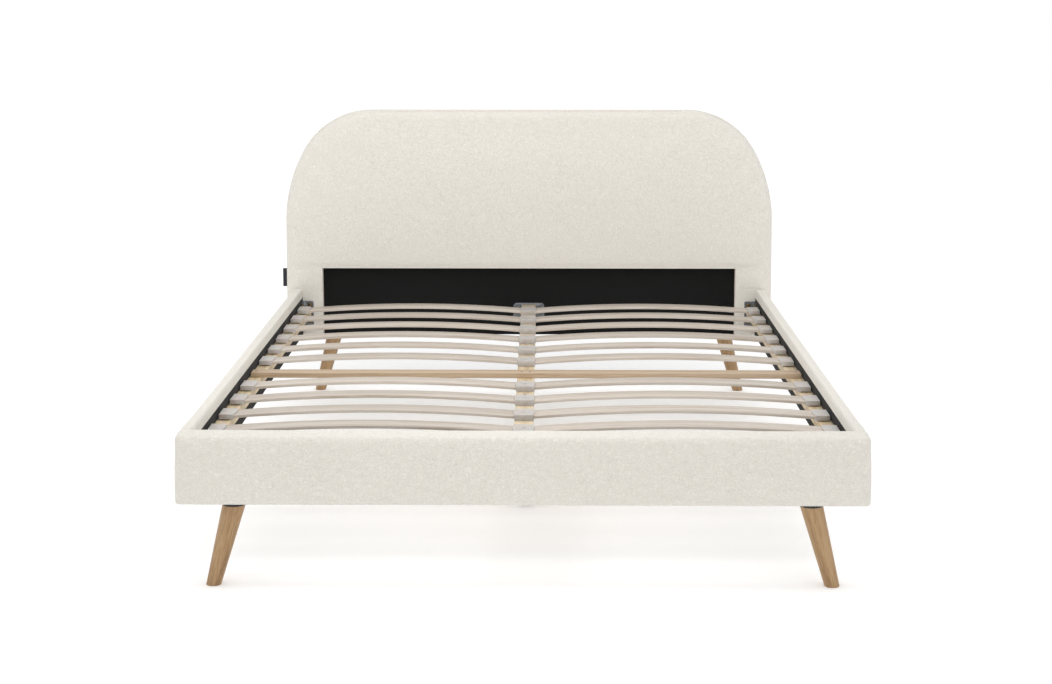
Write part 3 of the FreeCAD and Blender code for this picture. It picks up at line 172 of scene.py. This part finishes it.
def bevel_edges(piece, width, segments, chosen):
    """Round the edges of a piece that a test picks by their two ends."""
    select_only(piece)
    bpy.ops.object.mode_set(mode="EDIT")
    bpy.ops.mesh.select_mode(type="EDGE")
    bpy.ops.mesh.select_all(action="DESELECT")
    edit = bmesh.from_edit_mesh(piece.data)
    for edge in edit.edges:
        edge.select_set(chosen(edge.verts[0].co, edge.verts[1].co))
    edit.select_flush_mode()
    bmesh.update_edit_mesh(piece.data)
    bpy.ops.mesh.bevel(offset=width, offset_type="OFFSET", segments=segments, profile=0.5)
    bpy.ops.object.mode_set(mode="OBJECT")


def points_of(mesh):
    """A mesh's points as an array."""
    points = np.empty(len(mesh.vertices) * 3)
    mesh.vertices.foreach_get("co", points)
    return points.reshape(-1, 3)


def set_points(mesh, points):
    """Write an array of points back to a mesh."""
    mesh.vertices.foreach_set("co", points.ravel())
    mesh.update()


def shade(piece, angle=35):
    """Smooth shading that keeps edges sharper than the angle."""
    select_only(piece)
    bpy.ops.object.shade_smooth_by_angle(angle=math.radians(angle))


def put_on(piece, material, body="frame", nodes_replaced=()):
    """Give a piece its material and its body, and hide the nodes it stands for."""
    piece.data.materials.clear()
    piece.data.materials.append(material)
    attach(piece, body)
    if nodes_replaced:
        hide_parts(*nodes_replaced)


# Materials

def linear(hexcode):
    """An sRGB hex colour as linear RGBA."""
    channels = [int(hexcode[i:i + 2], 16) / 255 for i in (1, 3, 5)]
    return [c / 12.92 if c <= 0.04045 else ((c + 0.055) / 1.055) ** 2.4 for c in channels] + [1.0]


def new_material(name, **shader):
    """A material with a Principled shader, and its uniform values set on the sockets."""
    material = bpy.data.materials.new(name)
    material.use_nodes = True
    principled = material.node_tree.nodes["Principled BSDF"]
    for key, value in shader.items():
        socket = principled.inputs[key.replace("_", " ")]
        socket.default_value = linear(value) if isinstance(value, str) else value
    return material, principled


def add_node(material, kind, links=None, ramp=None, **settings):
    """A node with its settings. links gives an input by name or number, as a value or as the output of
    another node."""
    tree = material.node_tree
    made = tree.nodes.new(kind)
    for key, value in settings.items():
        setattr(made, key, value)
    for key, value in (links or {}).items():
        socket = made.inputs[key]
        if isinstance(value, bpy.types.NodeSocket):
            tree.links.new(value, socket)
        else:
            socket.default_value = value
    if ramp:
        elements = made.color_ramp.elements
        while len(elements) < len(ramp):
            elements.new(0.5)
        for element, (position, colour) in zip(elements, ramp):
            element.position = position
            element.color = colour
    return made


def connect(material, output, socket):
    """A link from a node's output to a socket."""
    material.node_tree.links.new(output, socket)


def object_point(material, scale=(1, 1, 1), turn=(0, 0, 0)):
    """The piece's own coordinates, stretched and turned."""
    place = add_node(material, "ShaderNodeTexCoord")
    return add_node(
        material, "ShaderNodeMapping",
        {"Vector": place.outputs["Object"], "Scale": scale, "Rotation": turn},
    ).outputs["Vector"]


def boucle_cloth():
    """Cream bouclé: short looped yarn that gives soft round nubs, matte, with painted shade darkening the
    dips between them.
    """
    nub = 3.4 * MM
    yarn = 1.4 * MM
    material, principled = new_material(
        "cream_boucle", Roughness=0.95, Sheen_Weight=0.25, Sheen_Roughness=0.6, Specular_IOR_Level=0.2,
    )
    point = object_point(material)
    drift = add_node(
        material, "ShaderNodeTexNoise", {"Vector": point, "Scale": 1 / (4 * nub), "Detail": 2.0},
    )
    bent = add_node(
        material, "ShaderNodeMix",
        {"Factor": 0.035, "A": point, "B": drift.outputs["Color"]}, data_type="VECTOR",
    )
    loops = add_node(
        material, "ShaderNodeTexVoronoi",
        {"Vector": bent.outputs["Result"], "Scale": 1 / nub, "Smoothness": 0.6, "Randomness": 1.0},
        feature="SMOOTH_F1",
    )
    strands = add_node(
        material, "ShaderNodeTexNoise",
        {"Vector": point, "Scale": 1 / yarn, "Detail": 2.0, "Roughness": 0.6},
    )
    height = add_node(
        material, "ShaderNodeMapRange",
        {
            "Value": loops.outputs["Distance"],
            "From Min": 0.0, "From Max": 0.75, "To Min": 1.0, "To Max": 0.0,
        },
    )
    rough = add_node(
        material, "ShaderNodeMath",
        {0: strands.outputs["Fac"], 1: 0.35, 2: height.outputs["Result"]}, operation="MULTIPLY_ADD",
    )
    # painted shade: the colour follows the nub height, so the low dips between the nubs are painted darker
    colour = add_node(
        material, "ShaderNodeValToRGB", {"Fac": height.outputs["Result"]},
        ramp=[(0.15, linear("#D7D3C9")), (0.7, linear("#E5E1DA"))],
    )
    patch = add_node(
        material, "ShaderNodeTexNoise", {"Vector": point, "Scale": 6.0, "Detail": 3.0},
    )
    tint = add_node(
        material, "ShaderNodeMix",
        {"Factor": 0.05, "A": colour.outputs["Color"], "B": patch.outputs["Fac"]},
        data_type="RGBA", blend_type="SOFT_LIGHT",
    )
    bump = add_node(
        material, "ShaderNodeBump",
        {"Height": rough.outputs["Value"], "Strength": 0.9, "Distance": 1.2 * MM},
    )
    connect(material, tint.outputs["Result"], principled.inputs["Base Color"])
    connect(material, bump.outputs["Normal"], principled.inputs["Normal"])
    return material


def spunbond_lining(name, tone, light):
    """Black spunbond: thin pressed fibres, matte, with a fine embossed dot grid."""
    dot = 1.8 * MM
    fibre = 3 * MM
    material, principled = new_material(name, Roughness=0.92, Specular_IOR_Level=0.25, Sheen_Weight=0.05)
    point = object_point(material)
    dots = add_node(
        material, "ShaderNodeTexVoronoi", {"Vector": point, "Scale": 1 / dot, "Randomness": 0.15},
    )
    fibres = add_node(
        material, "ShaderNodeTexNoise",
        {"Vector": point, "Scale": 1 / fibre, "Detail": 4.0, "Roughness": 0.7},
    )
    mixed = add_node(
        material, "ShaderNodeMath",
        {0: dots.outputs["Distance"], 1: 0.5, 2: fibres.outputs["Fac"]}, operation="MULTIPLY_ADD",
    )
    colour = add_node(
        material, "ShaderNodeValToRGB", {"Fac": fibres.outputs["Fac"]},
        ramp=[(0.35, linear(tone)), (0.75, linear(light))],
    )
    bump = add_node(
        material, "ShaderNodeBump",
        {"Height": mixed.outputs["Value"], "Strength": 0.3, "Distance": 0.3 * MM},
    )
    connect(material, colour.outputs["Color"], principled.inputs["Base Color"])
    connect(material, bump.outputs["Normal"], principled.inputs["Normal"])
    return material


def planed_wood(name, pale, mid, dark, along, fibre, turn=(0, 0, 0), roughness=0.5, knots=0.0, pitch=None):
    """Planed wood: long fibres along one axis, wider growth bands, and where asked small knots.

    along is the axis of the grain, fibre the width of a fibre, and pitch the spacing of separate strips
    in Y, each of which then gets a tone of its own."""
    material, principled = new_material(name, Roughness=roughness, Specular_IOR_Level=0.35)
    stretch = {"X": (0.02, 1, 1), "Y": (1, 0.02, 1), "Z": (1, 1, 0.02)}[along]
    turned = object_point(material, turn=turn)
    point = add_node(
        material, "ShaderNodeVectorMath", {0: turned, 1: stretch}, operation="MULTIPLY",
    ).outputs["Vector"]
    wander = add_node(
        material, "ShaderNodeTexNoise", {"Vector": turned, "Scale": 5.0, "Detail": 2.0},
    )
    bent = add_node(
        material, "ShaderNodeMix",
        {"Factor": 0.012, "A": point, "B": wander.outputs["Color"]}, data_type="VECTOR",
    )
    fibres = add_node(
        material, "ShaderNodeTexNoise",
        {"Vector": point, "Scale": 1 / fibre, "Detail": 5.0, "Roughness": 0.65},
    )
    bands = add_node(
        material, "ShaderNodeTexNoise",
        {"Vector": bent.outputs["Result"], "Scale": 1 / (9 * fibre), "Detail": 3.0, "Roughness": 0.5},
    )
    mixed = add_node(
        material, "ShaderNodeMath",
        {0: fibres.outputs["Fac"], 1: 0.55, 2: 0.0}, operation="MULTIPLY_ADD",
    )
    grain = add_node(
        material, "ShaderNodeMath",
        {0: bands.outputs["Fac"], 1: 0.45, 2: mixed.outputs["Value"]}, operation="MULTIPLY_ADD",
    )
    tone = add_node(
        material, "ShaderNodeValToRGB", {"Fac": grain.outputs["Value"]},
        ramp=[(0.36, linear(dark)), (0.47, linear(mid)), (0.60, linear(pale))],
    )
    result = tone.outputs["Color"]
    if pitch:
        split = add_node(material, "ShaderNodeSeparateXYZ", {"Vector": turned})
        strip = add_node(
            material, "ShaderNodeMath", {0: split.outputs["Y"], 1: pitch / 3}, operation="SNAP",
        )
        side = add_node(material, "ShaderNodeMath", {0: split.outputs["X"]}, operation="SIGN")
        seed = add_node(
            material, "ShaderNodeCombineXYZ", {"X": side.outputs["Value"], "Y": strip.outputs["Value"]},
        )
        chance = add_node(material, "ShaderNodeTexWhiteNoise", {"Vector": seed.outputs["Vector"]})
        shift = add_node(
            material, "ShaderNodeMapRange",
            {"Value": chance.outputs["Value"], "To Min": 0.90, "To Max": 1.07},
        )
        result = add_node(
            material, "ShaderNodeVectorMath",
            {0: result, "Scale": shift.outputs["Result"]}, operation="SCALE",
        ).outputs["Vector"]
    if knots:
        spots = add_node(
            material, "ShaderNodeTexVoronoi",
            {"Vector": add_node(
                material, "ShaderNodeVectorMath",
                {0: turned, 1: {"X": (0.45, 1, 1), "Y": (1, 0.45, 1), "Z": (1, 1, 0.45)}[along]},
                operation="MULTIPLY",
            ).outputs["Vector"], "Scale": 7.0, "Randomness": 1.0},
        )
        spot = add_node(
            material, "ShaderNodeValToRGB", {"Fac": spots.outputs["Distance"]},
            ramp=[(0.03, (knots, knots, knots, 1)), (0.07, (0, 0, 0, 1))],
        )
        result = add_node(
            material, "ShaderNodeMix",
            {"Factor": spot.outputs["Color"], "A": result, "B": linear("#7A5636")},
            data_type="RGBA",
        ).outputs["Result"]
    bump = add_node(
        material, "ShaderNodeBump",
        {"Height": fibres.outputs["Fac"], "Strength": 0.12, "Distance": 0.3 * MM},
    )
    connect(material, result, principled.inputs["Base Color"])
    connect(material, bump.outputs["Normal"], principled.inputs["Normal"])
    return material


def speckled(name, low, high, grain, bump_height, **shader):
    """A sheet, plastic or metal whose colour wanders a little between two tones at one grain size."""
    material, principled = new_material(name, **shader)
    point = object_point(material)
    noise = add_node(
        material, "ShaderNodeTexNoise",
        {"Vector": point, "Scale": 1 / grain, "Detail": 4.0, "Roughness": 0.6},
    )
    colour = add_node(
        material, "ShaderNodeValToRGB", {"Fac": noise.outputs["Fac"]},
        ramp=[(0.35, linear(low)), (0.65, linear(high))],
    )
    bump = add_node(
        material, "ShaderNodeBump",
        {"Height": noise.outputs["Fac"], "Strength": 0.2, "Distance": bump_height},
    )
    connect(material, colour.outputs["Color"], principled.inputs["Base Color"])
    connect(material, bump.outputs["Normal"], principled.inputs["Normal"])
    return material


boucle = boucle_cloth()
lining_cloth = spunbond_lining("black_spunbond", "#090909", "#101010")
label_cloth = spunbond_lining("charcoal_label_tape", "#2C2D31", "#3A3B40")
SLAT_PITCH = 0.1654
birch = planed_wood(
    "birch_laminate", "#C4BBB1", "#B7ACA0", "#A29586", "X", 1.6 * MM, roughness=0.42, pitch=SLAT_PITCH,
)
PINE = ("#D6C5AA", "#CAB796", "#B29B79")
pine = planed_wood("pine_crossbar", "#BBA68F", "#AE977B", "#977E64", "X", 2.2 * MM, knots=0.8)
pine_beam = planed_wood("pine_beam", *PINE, "Y", 2.2 * MM, knots=0.6)
pine_post = planed_wood("pine_post", *PINE, "Z", 2.2 * MM)
OAK = ("#AE906B", "#997A56", "#785D3F")
LEG_TILT = math.radians(15)
oak_right = planed_wood("oiled_oak_right", *OAK, "Z", 1.5 * MM, turn=(0, LEG_TILT, 0), roughness=0.45)
oak_left = planed_wood("oiled_oak_left", *OAK, "Z", 1.5 * MM, turn=(0, -LEG_TILT, 0), roughness=0.45)
# chipboard shows pressed chips a few millimetres long
chipboard = speckled("chipboard", "#A98A62", "#CDB189", 3 * MM, 0.2 * MM, Roughness=0.8)
# zinc plate is pale, slightly blue and mottled
zinc = speckled("zinc_plate", "#606365", "#7F8284", 6 * MM, 0.05 * MM, Metallic=1.0, Roughness=0.42)
# yellow-passivated steel has a coppery cast
bolt_steel = speckled(
    "yellow_zinc_bolt", "#6F5C3E", "#937C59", 3 * MM, 0.05 * MM, Metallic=1.0, Roughness=0.35,
)
black_steel = speckled(
    "black_powder_coat", "#0E0E0F", "#17171A", 0.8 * MM, 0.06 * MM, Roughness=0.45,
)
# natural polypropylene: milky and slightly see-through, with a soft sheen
polypropylene = speckled(
    "milky_polypropylene", "#BFB9B4", "#CAC5C0", 12 * MM, 0.04 * MM,
    Roughness=0.4, Subsurface_Weight=0.2, Subsurface_Scale=4 * MM, Transmission_Weight=0.2,
)
foot_plastic = speckled("black_moulded_foot", "#111112", "#1B1B1D", 0.6 * MM, 0.05 * MM, Roughness=0.5)


# Padded pieces

def swell(piece, voxel, pinned, reach):
    """Turn a closed form into a stuffed one: even faces, then cloth blown up a little from inside.

    pinned tells which points stay where they are, and reach is how far any other may move."""
    apply_modifier(piece, "REMESH", mode="VOXEL", voxel_size=voxel)
    start = points_of(piece.data)
    held = piece.vertex_groups.new(name="held")
    held.add([int(i) for i in np.nonzero(pinned(start))[0]], 1.0, "REPLACE")
    cloth = piece.modifiers.new("cloth", "CLOTH")
    cloth.settings.quality = 4
    cloth.settings.use_pressure = True
    cloth.settings.uniform_pressure_force = CLOTH_PRESSURE
    cloth.settings.tension_stiffness = 30
    cloth.settings.compression_stiffness = 30
    cloth.settings.bending_stiffness = 4
    cloth.settings.vertex_group_mass = held.name
    cloth.settings.effector_weights.gravity = 0
    cloth.collision_settings.use_collision = False
    cloth.point_cache.frame_start = 1
    cloth.point_cache.frame_end = SIM_FRAMES
    scene = bpy.context.scene
    for step in range(1, SIM_FRAMES + 1):
        scene.frame_set(step)
    swollen = piece.evaluated_get(bpy.context.evaluated_depsgraph_get())
    move = points_of(swollen.data) - start
    far = np.linalg.norm(move, axis=1, keepdims=True)
    # ease off towards the reach, so that the skin stays smooth where it is held back
    move *= reach * np.tanh(far / reach) / np.maximum(far, 1e-9)
    piece.modifiers.remove(cloth)
    set_points(piece.data, start + move)
    scene.frame_set(1)
    piece.vertex_groups.clear()
    apply_modifier(piece, "SUBSURF", levels=1, render_levels=1)


def raise_loops(piece):
    """Stand the largest loops of the bouclé out of the surface."""
    loops = bpy.data.textures.new(f"{piece.name}_loops", "VORONOI")
    loops.noise_scale = LOOP_SIZE
    loops.distance_metric = "DISTANCE"
    apply_modifier(
        piece, "DISPLACE", texture=loops, texture_coords="LOCAL", strength=-LOOP_RELIEF, mid_level=0.45,
    )


def carve(piece, *cutters):
    """Take the cutters' volumes off a piece."""
    for cutter in cutters:
        apply_modifier(piece, "BOOLEAN", object=cutter, operation="DIFFERENCE", solver="MANIFOLD")
        bpy.data.objects.remove(cutter)


def upholster(piece, nodes_replaced):
    """Finish a padded piece."""
    shade(piece, 50)
    put_on(piece, boucle, nodes_replaced=nodes_replaced)


def side_upholstery():
    """The padded right side rail, then its left-hand twin."""
    low, high = corners_of("right_rail_cover")
    rail = block("right_upholstery", low, high)

    def long_edge(a, b, x, z):
        return abs(a.y - b.y) > 1 and abs(a.x - x) < MM and abs(a.z - z) < MM

    def rear_end(a, b):
        return min(a.y, b.y) > high.y - MM and min(a.z, b.z) > high.z - 20 * MM

    bevel_edges(rail, RAIL_END_ROUND, 5, rear_end)
    bevel_edges(rail, RAIL_OUTER_ROUND, 6, lambda a, b: long_edge(a, b, high.x, high.z))
    bevel_edges(rail, RAIL_INNER_ROUND, 5, lambda a, b: long_edge(a, b, low.x, high.z))
    bevel_edges(rail, LOW_ROUND, 3, lambda a, b: long_edge(a, b, high.x, low.z))
    swell(
        rail, RAIL_VOXEL,
        lambda p: (
            (p[:, 0] < low.x + 3 * MM)
            | (p[:, 2] < low.z + 3 * MM)
            | (p[:, 1] < low.y + 4 * MM)
        ),
        2.5 * MM,
    )
    raise_loops(rail)
    hem = corners_of("right_rail_lining")[1].z
    carve(
        rail,
        block(
            "lining_room",
            (low.x - CUTTER_SLACK, low.y - CUTTER_SLACK, low.z + COVER),
            (low.x + 2 * MM, high.y + CUTTER_SLACK, hem),
        ),
    )
    twin = rail.copy()
    twin.data = rail.data.copy()
    twin.name = "left_upholstery"
    bpy.context.collection.objects.link(twin)
    points = points_of(twin.data)
    points[:, 0] *= -1
    set_points(twin.data, points)
    twin.data.flip_normals()
    upholster(rail, ("right_rail_cover", "right_rail_foam"))
    upholster(twin, ("left_rail_cover", "left_rail_foam"))


def foot_upholstery():
    """The padded foot rail."""
    low, high = corners_of("foot_rail_cover")
    rail = block("foot_upholstery", low, high)

    def on(a, b, axis, level):
        return abs(a[axis] - level) < MM and abs(b[axis] - level) < MM

    def large(a, b):
        upper = on(a, b, 2, high.z) and not on(a, b, 1, high.y)
        front = on(a, b, 1, low.y) and not on(a, b, 2, low.z)
        return upper or front

    def small(a, b):
        upper_back = on(a, b, 2, high.z) and on(a, b, 1, high.y)
        lower = on(a, b, 2, low.z) and not on(a, b, 1, high.y)
        return upper_back or lower

    bevel_edges(rail, FOOT_ROUND, 4, large)
    bevel_edges(rail, LOW_ROUND, 3, small)
    swell(
        rail, RAIL_VOXEL,
        lambda p: (p[:, 1] > high.y - 4 * MM) | (p[:, 2] < low.z + 3 * MM),
        3 * MM,
    )
    raise_loops(rail)
    lining_low, lining_high = corners_of("foot_rail_lining")
    carve(
        rail,
        block(
            "lining_room",
            (lining_low.x, high.y - 2 * MM, low.z + COVER),
            (lining_high.x, high.y + CUTTER_SLACK, lining_high.z),
        ),
    )
    upholster(rail, ("foot_rail_cover", "foot_rail_foam"))


def arch_points(inset, low_z, depth):
    """The headboard's outline drawn in by an inset, at one depth, as points round it."""
    low, high = corners_of("headboard_cover")
    half = high.x - inset
    side_radius = CORNER_SIDE_RADIUS - inset
    top_radius = CORNER_TOP_RADIUS - inset
    spring = high.z - CORNER_HEIGHT
    side_centre = (high.x - CORNER_SIDE_RADIUS, spring)
    turn = math.asin((CORNER_HEIGHT - CORNER_TOP_RADIUS) / (CORNER_SIDE_RADIUS - CORNER_TOP_RADIUS))
    offset = CORNER_SIDE_RADIUS - CORNER_TOP_RADIUS
    top_centre = (side_centre[0] + offset * math.cos(turn), side_centre[1] + offset * math.sin(turn))
    steps = 14
    right = [(half, low_z)]
    for step in range(steps + 1):
        angle = turn * step / steps
        right.append(
            (side_centre[0] + side_radius * math.cos(angle), side_centre[1] + side_radius * math.sin(angle))
        )
    for step in range(1, steps + 1):
        angle = turn + (math.pi / 2 - turn) * step / steps
        right.append(
            (top_centre[0] + top_radius * math.cos(angle), top_centre[1] + top_radius * math.sin(angle))
        )
    left = [(-x, z) for x, z in reversed(right)]
    return [Vector((x, depth, z)) for x, z in right + left]


def arch(name, inset, low_z, front, back):
    """The headboard's outline made solid between two depths."""
    near = arch_points(inset, low_z, front)
    far = arch_points(inset, low_z, back)
    count = len(near)
    faces = [list(range(count)), list(range(2 * count - 1, count - 1, -1))]
    faces += [[i, (i + 1) % count, count + (i + 1) % count, count + i] for i in range(count)]
    return new_piece(name, near + far, faces)


def headboard_upholstery():
    """The padded headboard: soft front, round front edge, recess for the mattress and an open back."""
    low, high = corners_of("headboard_cover")
    lining_low, lining_high = corners_of("headboard_front_lining")
    pad = arch("headboard_upholstery", 0, low.z, low.y, high.y)

    def at_depth(a, b, y):
        at_bottom = abs(a.z - low.z) < MM and abs(b.z - low.z) < MM
        return abs(a.y - y) < MM and abs(b.y - y) < MM and not at_bottom

    bevel_edges(pad, HEADBOARD_ROUND, 6, lambda a, b: at_depth(a, b, low.y))
    bevel_edges(pad, HEADBOARD_BACK_ROUND, 2, lambda a, b: at_depth(a, b, high.y))
    rail_top = corners_of("right_rail_cover")[1].z
    swell(
        pad, HEADBOARD_VOXEL,
        lambda p: (
            (p[:, 1] > low.y + PANEL_RECESS)
            | (p[:, 2] < rail_top)
            | ((np.abs(p[:, 0]) < lining_high.x + 6 * MM) & (p[:, 2] < lining_high.z + 6 * MM))
        ),
        5 * MM,
    )
    raise_loops(pad)
    # the loops stay behind the brackets' and the rails' ends
    points = points_of(pad.data)
    flattened = (points[:, 2] < rail_top) & (points[:, 1] < low.y + 6 * MM)
    points[flattened, 1] = np.maximum(points[flattened, 1], low.y + 0.2 * MM)
    set_points(pad.data, points)
    carve(
        pad,
        block(
            "mattress_recess",
            (lining_low.x - 1 * MM, low.y - CUTTER_SLACK, low.z - CUTTER_SLACK),
            (lining_high.x + 1 * MM, lining_high.y + 2 * MM, lining_high.z + 1 * MM),
        ),
        arch("back_window", BACK_HEM, low.z + BACK_HEM, high.y - 4 * MM, high.y + CUTTER_SLACK),
    )
    upholster(pad, ("headboard_cover", "headboard_foam"))


# Thin linings, stapled flat

def flat_lining(node, axis, side):
    """A rectangular lining over a board. axis is the way it faces, and side the sign of that way."""
    low, high = corners_of(node)
    across = 1 - axis
    columns = int((high[across] - low[across]) / LINING_MESH)
    rows = int((high.z - low.z) / LINING_MESH)
    face = high[axis] if side > 0 else low[axis]
    points = []
    for row in range(rows + 1):
        for column in range(columns + 1):
            spot = Vector((0, 0, low.z + (high.z - low.z) * row / rows))
            spot[across] = low[across] + (high[across] - low[across]) * column / columns
            held = min(row, rows - row, 2) / 2
            ripple = LINING_RIPPLE * held * math.sin(7.3 * spot[across] + 3.1 * math.sin(19 * spot.z))
            spot[axis] = face - side * (LINING_SET_BACK + ripple)
            points.append(spot)
    piece = open_sheet(f"{node}_sheet", points, grid_faces(columns, rows))
    facing = sum(polygon.normal[axis] for polygon in piece.data.polygons)
    if facing * side < 0:
        piece.data.flip_normals()
    apply_modifier(piece, "SOLIDIFY", thickness=LINING_THICKNESS, offset=-1)
    shade(piece)
    put_on(piece, lining_cloth, nodes_replaced=(node,))


def back_lining():
    """The black lining over the open back of the headboard, drawn in a little between the timbers."""
    low, high = corners_of("headboard_back_lining")
    inset = BACK_SHEET_INSET
    front = low.y + 0.5 * MM
    sheet = arch("headboard_back_sheet", inset, low.z + inset, front, front + LINING_THICKNESS)
    put_on(sheet, lining_cloth, nodes_replaced=("headboard_back_lining",))
    shade(sheet)


# Hard pieces with their edges eased

def eased(node, width, material, body="frame", segments=2):
    """A node's shape with its sharp edges taken off."""
    source = nodes[node]
    piece = source.copy()
    piece.data = source.data.copy()
    piece.name = f"{node}_eased"
    piece.parent = None
    piece.matrix_world = Matrix.Identity(4)
    bpy.context.collection.objects.link(piece)
    select_only(piece)
    bpy.ops.object.mode_set(mode="EDIT")
    bpy.ops.mesh.select_all(action="SELECT")
    bpy.ops.mesh.remove_doubles(threshold=0.01 * MM)
    bpy.ops.mesh.dissolve_limited(angle_limit=math.radians(0.6))
    bpy.ops.object.mode_set(mode="OBJECT")
    apply_modifier(
        piece, "BEVEL", width=width, segments=segments, limit_method="ANGLE", angle_limit=math.radians(40),
        use_clamp_overlap=True,
    )
    shade(piece, 40)
    put_on(piece, material, body, (node,))
    return piece


def finish_nodes(material, *names):
    """Give nodes that keep their own shape their material."""
    for name in names:
        for slot in nodes[name].material_slots:
            slot.material = material


def side_label():
    """A blank woven tape folded in two and sewn into the headboard's edge."""
    low, high = corners_of("side_label")
    middle = (low.y + high.y) / 2
    reach = high.x - low.x
    half = TAPE_HALF_FOLD
    profile = [(high.x, middle - half)]
    fold = 6
    for step in range(fold + 1):
        angle = -math.pi / 2 - math.pi * step / fold
        profile.append((low.x + half * (1 + math.cos(angle)), middle + half * math.sin(angle)))
    profile.append((high.x, middle + half))
    rows = 8
    points = []
    for row in range(rows + 1):
        z = low.z + (high.z - low.z) * row / rows
        sway = TAPE_SWAY * math.sin(math.pi * row / rows)
        points += [Vector((x, y + sway * (high.x - x) / reach, z)) for x, y in profile]
    piece = open_sheet("side_label_tape", points, grid_faces(len(profile) - 1, rows))
    apply_modifier(piece, "SOLIDIFY", thickness=TAPE_THICKNESS, offset=0)
    shade(piece)
    put_on(piece, label_cloth, nodes_replaced=("side_label",))


headboard_upholstery()
foot_upholstery()
side_upholstery()
flat_lining("right_rail_lining", 0, -1)
flat_lining("left_rail_lining", 0, 1)
flat_lining("foot_rail_lining", 1, 1)
flat_lining("headboard_front_lining", 1, -1)
back_lining()
side_label()

for side in ("left", "right"):
    for count in range(1, 11):
        eased(f"{side}_slat_{count:02d}", 1.5 * MM, birch)
    eased(f"{side}_slat_ledge", 1 * MM, pine_beam)
eased("flat_crossbar", 1.5 * MM, pine)
eased("centre_beam", 1.5 * MM, pine_beam)
eased("slat_end_caps", 0.6 * MM, polypropylene)
eased("centre_clips", 0.6 * MM, polypropylene)
eased("corner_brackets", 0.4 * MM, zinc)
eased("beam_hangers", 0.4 * MM, zinc)
eased("leg_plates", 0.5 * MM, black_steel)
finish_nodes(oak_right, "front_right_leg", "rear_right_leg")
finish_nodes(oak_left, "front_left_leg", "rear_left_leg")
finish_nodes(pine_post, "front_centre_leg", "rear_centre_leg")
finish_nodes(pine_beam, "headboard_frame")
finish_nodes(chipboard, "headboard_panel", "left_rail_board", "right_rail_board", "foot_rail_board")
finish_nodes(foot_plastic, "front_centre_foot", "rear_centre_foot")
finish_nodes(zinc, "wood_screws")
finish_nodes(bolt_steel, "rail_bolts", "headboard_bolts", "leg_bolts")


# Floor, light and camera

def studio():
    """A pale floor in a bright, even room with a large soft light overhead and one in front."""
    bpy.ops.object.select_all(action="DESELECT")
    bpy.ops.mesh.primitive_plane_add(size=40)
    floor = bpy.context.active_object
    floor.name = "floor"
    paint, _ = new_material(
        "pale_floor", Base_Color="#FFFFFF", Roughness=0.9, Specular_IOR_Level=0.0,
        Emission_Color="#FFFFFF", Emission_Strength=0.1,
    )
    floor.data.materials.append(paint)
    world = bpy.data.worlds.new("studio")
    world.use_nodes = True
    world.node_tree.nodes["Background"].inputs["Color"].default_value = (1, 1, 1, 1)
    world.node_tree.nodes["Background"].inputs["Strength"].default_value = 1.0
    bpy.context.scene.world = world
    for name, place, aim, size, power in (
        ("headboard_lamp", (-0.2, -0.9, 1.95), (0.0, 1.0, 0.55), 1.6, 16),
        ("front_lamp", (0.6, -5.6, 2.6), (0.0, 0.0, 0.4), 3.0, 2),
    ):
        lamp = bpy.data.lights.new(name, "AREA")
        lamp.shape = "DISK"
        lamp.size = size
        lamp.energy = power
        holder = bpy.data.objects.new(name, lamp)
        holder.location = place
        holder.visible_camera = False
        holder.rotation_euler = (Vector(aim) - Vector(place)).to_track_quat("-Z", "Y").to_euler()
        bpy.context.collection.objects.link(holder)


def camera():
    """A long-lens view from the foot end, a little above the headboard."""
    lens = bpy.data.cameras.new("camera")
    lens.sensor_width = 36
    lens.lens = 60.25
    lens.shift_y = -0.12
    tilt = math.radians(7.44)
    distance = 4.072
    holder = bpy.data.objects.new("camera", lens)
    holder.location = (0.046, cad_box[0][1] - distance, 1.437)
    holder.rotation_euler = (math.radians(90) - tilt, 0, math.radians(0.52))
    bpy.context.collection.objects.link(holder)
    bpy.context.scene.camera = holder


studio()
camera()
bpy.context.scene.view_settings.view_transform = "Standard"
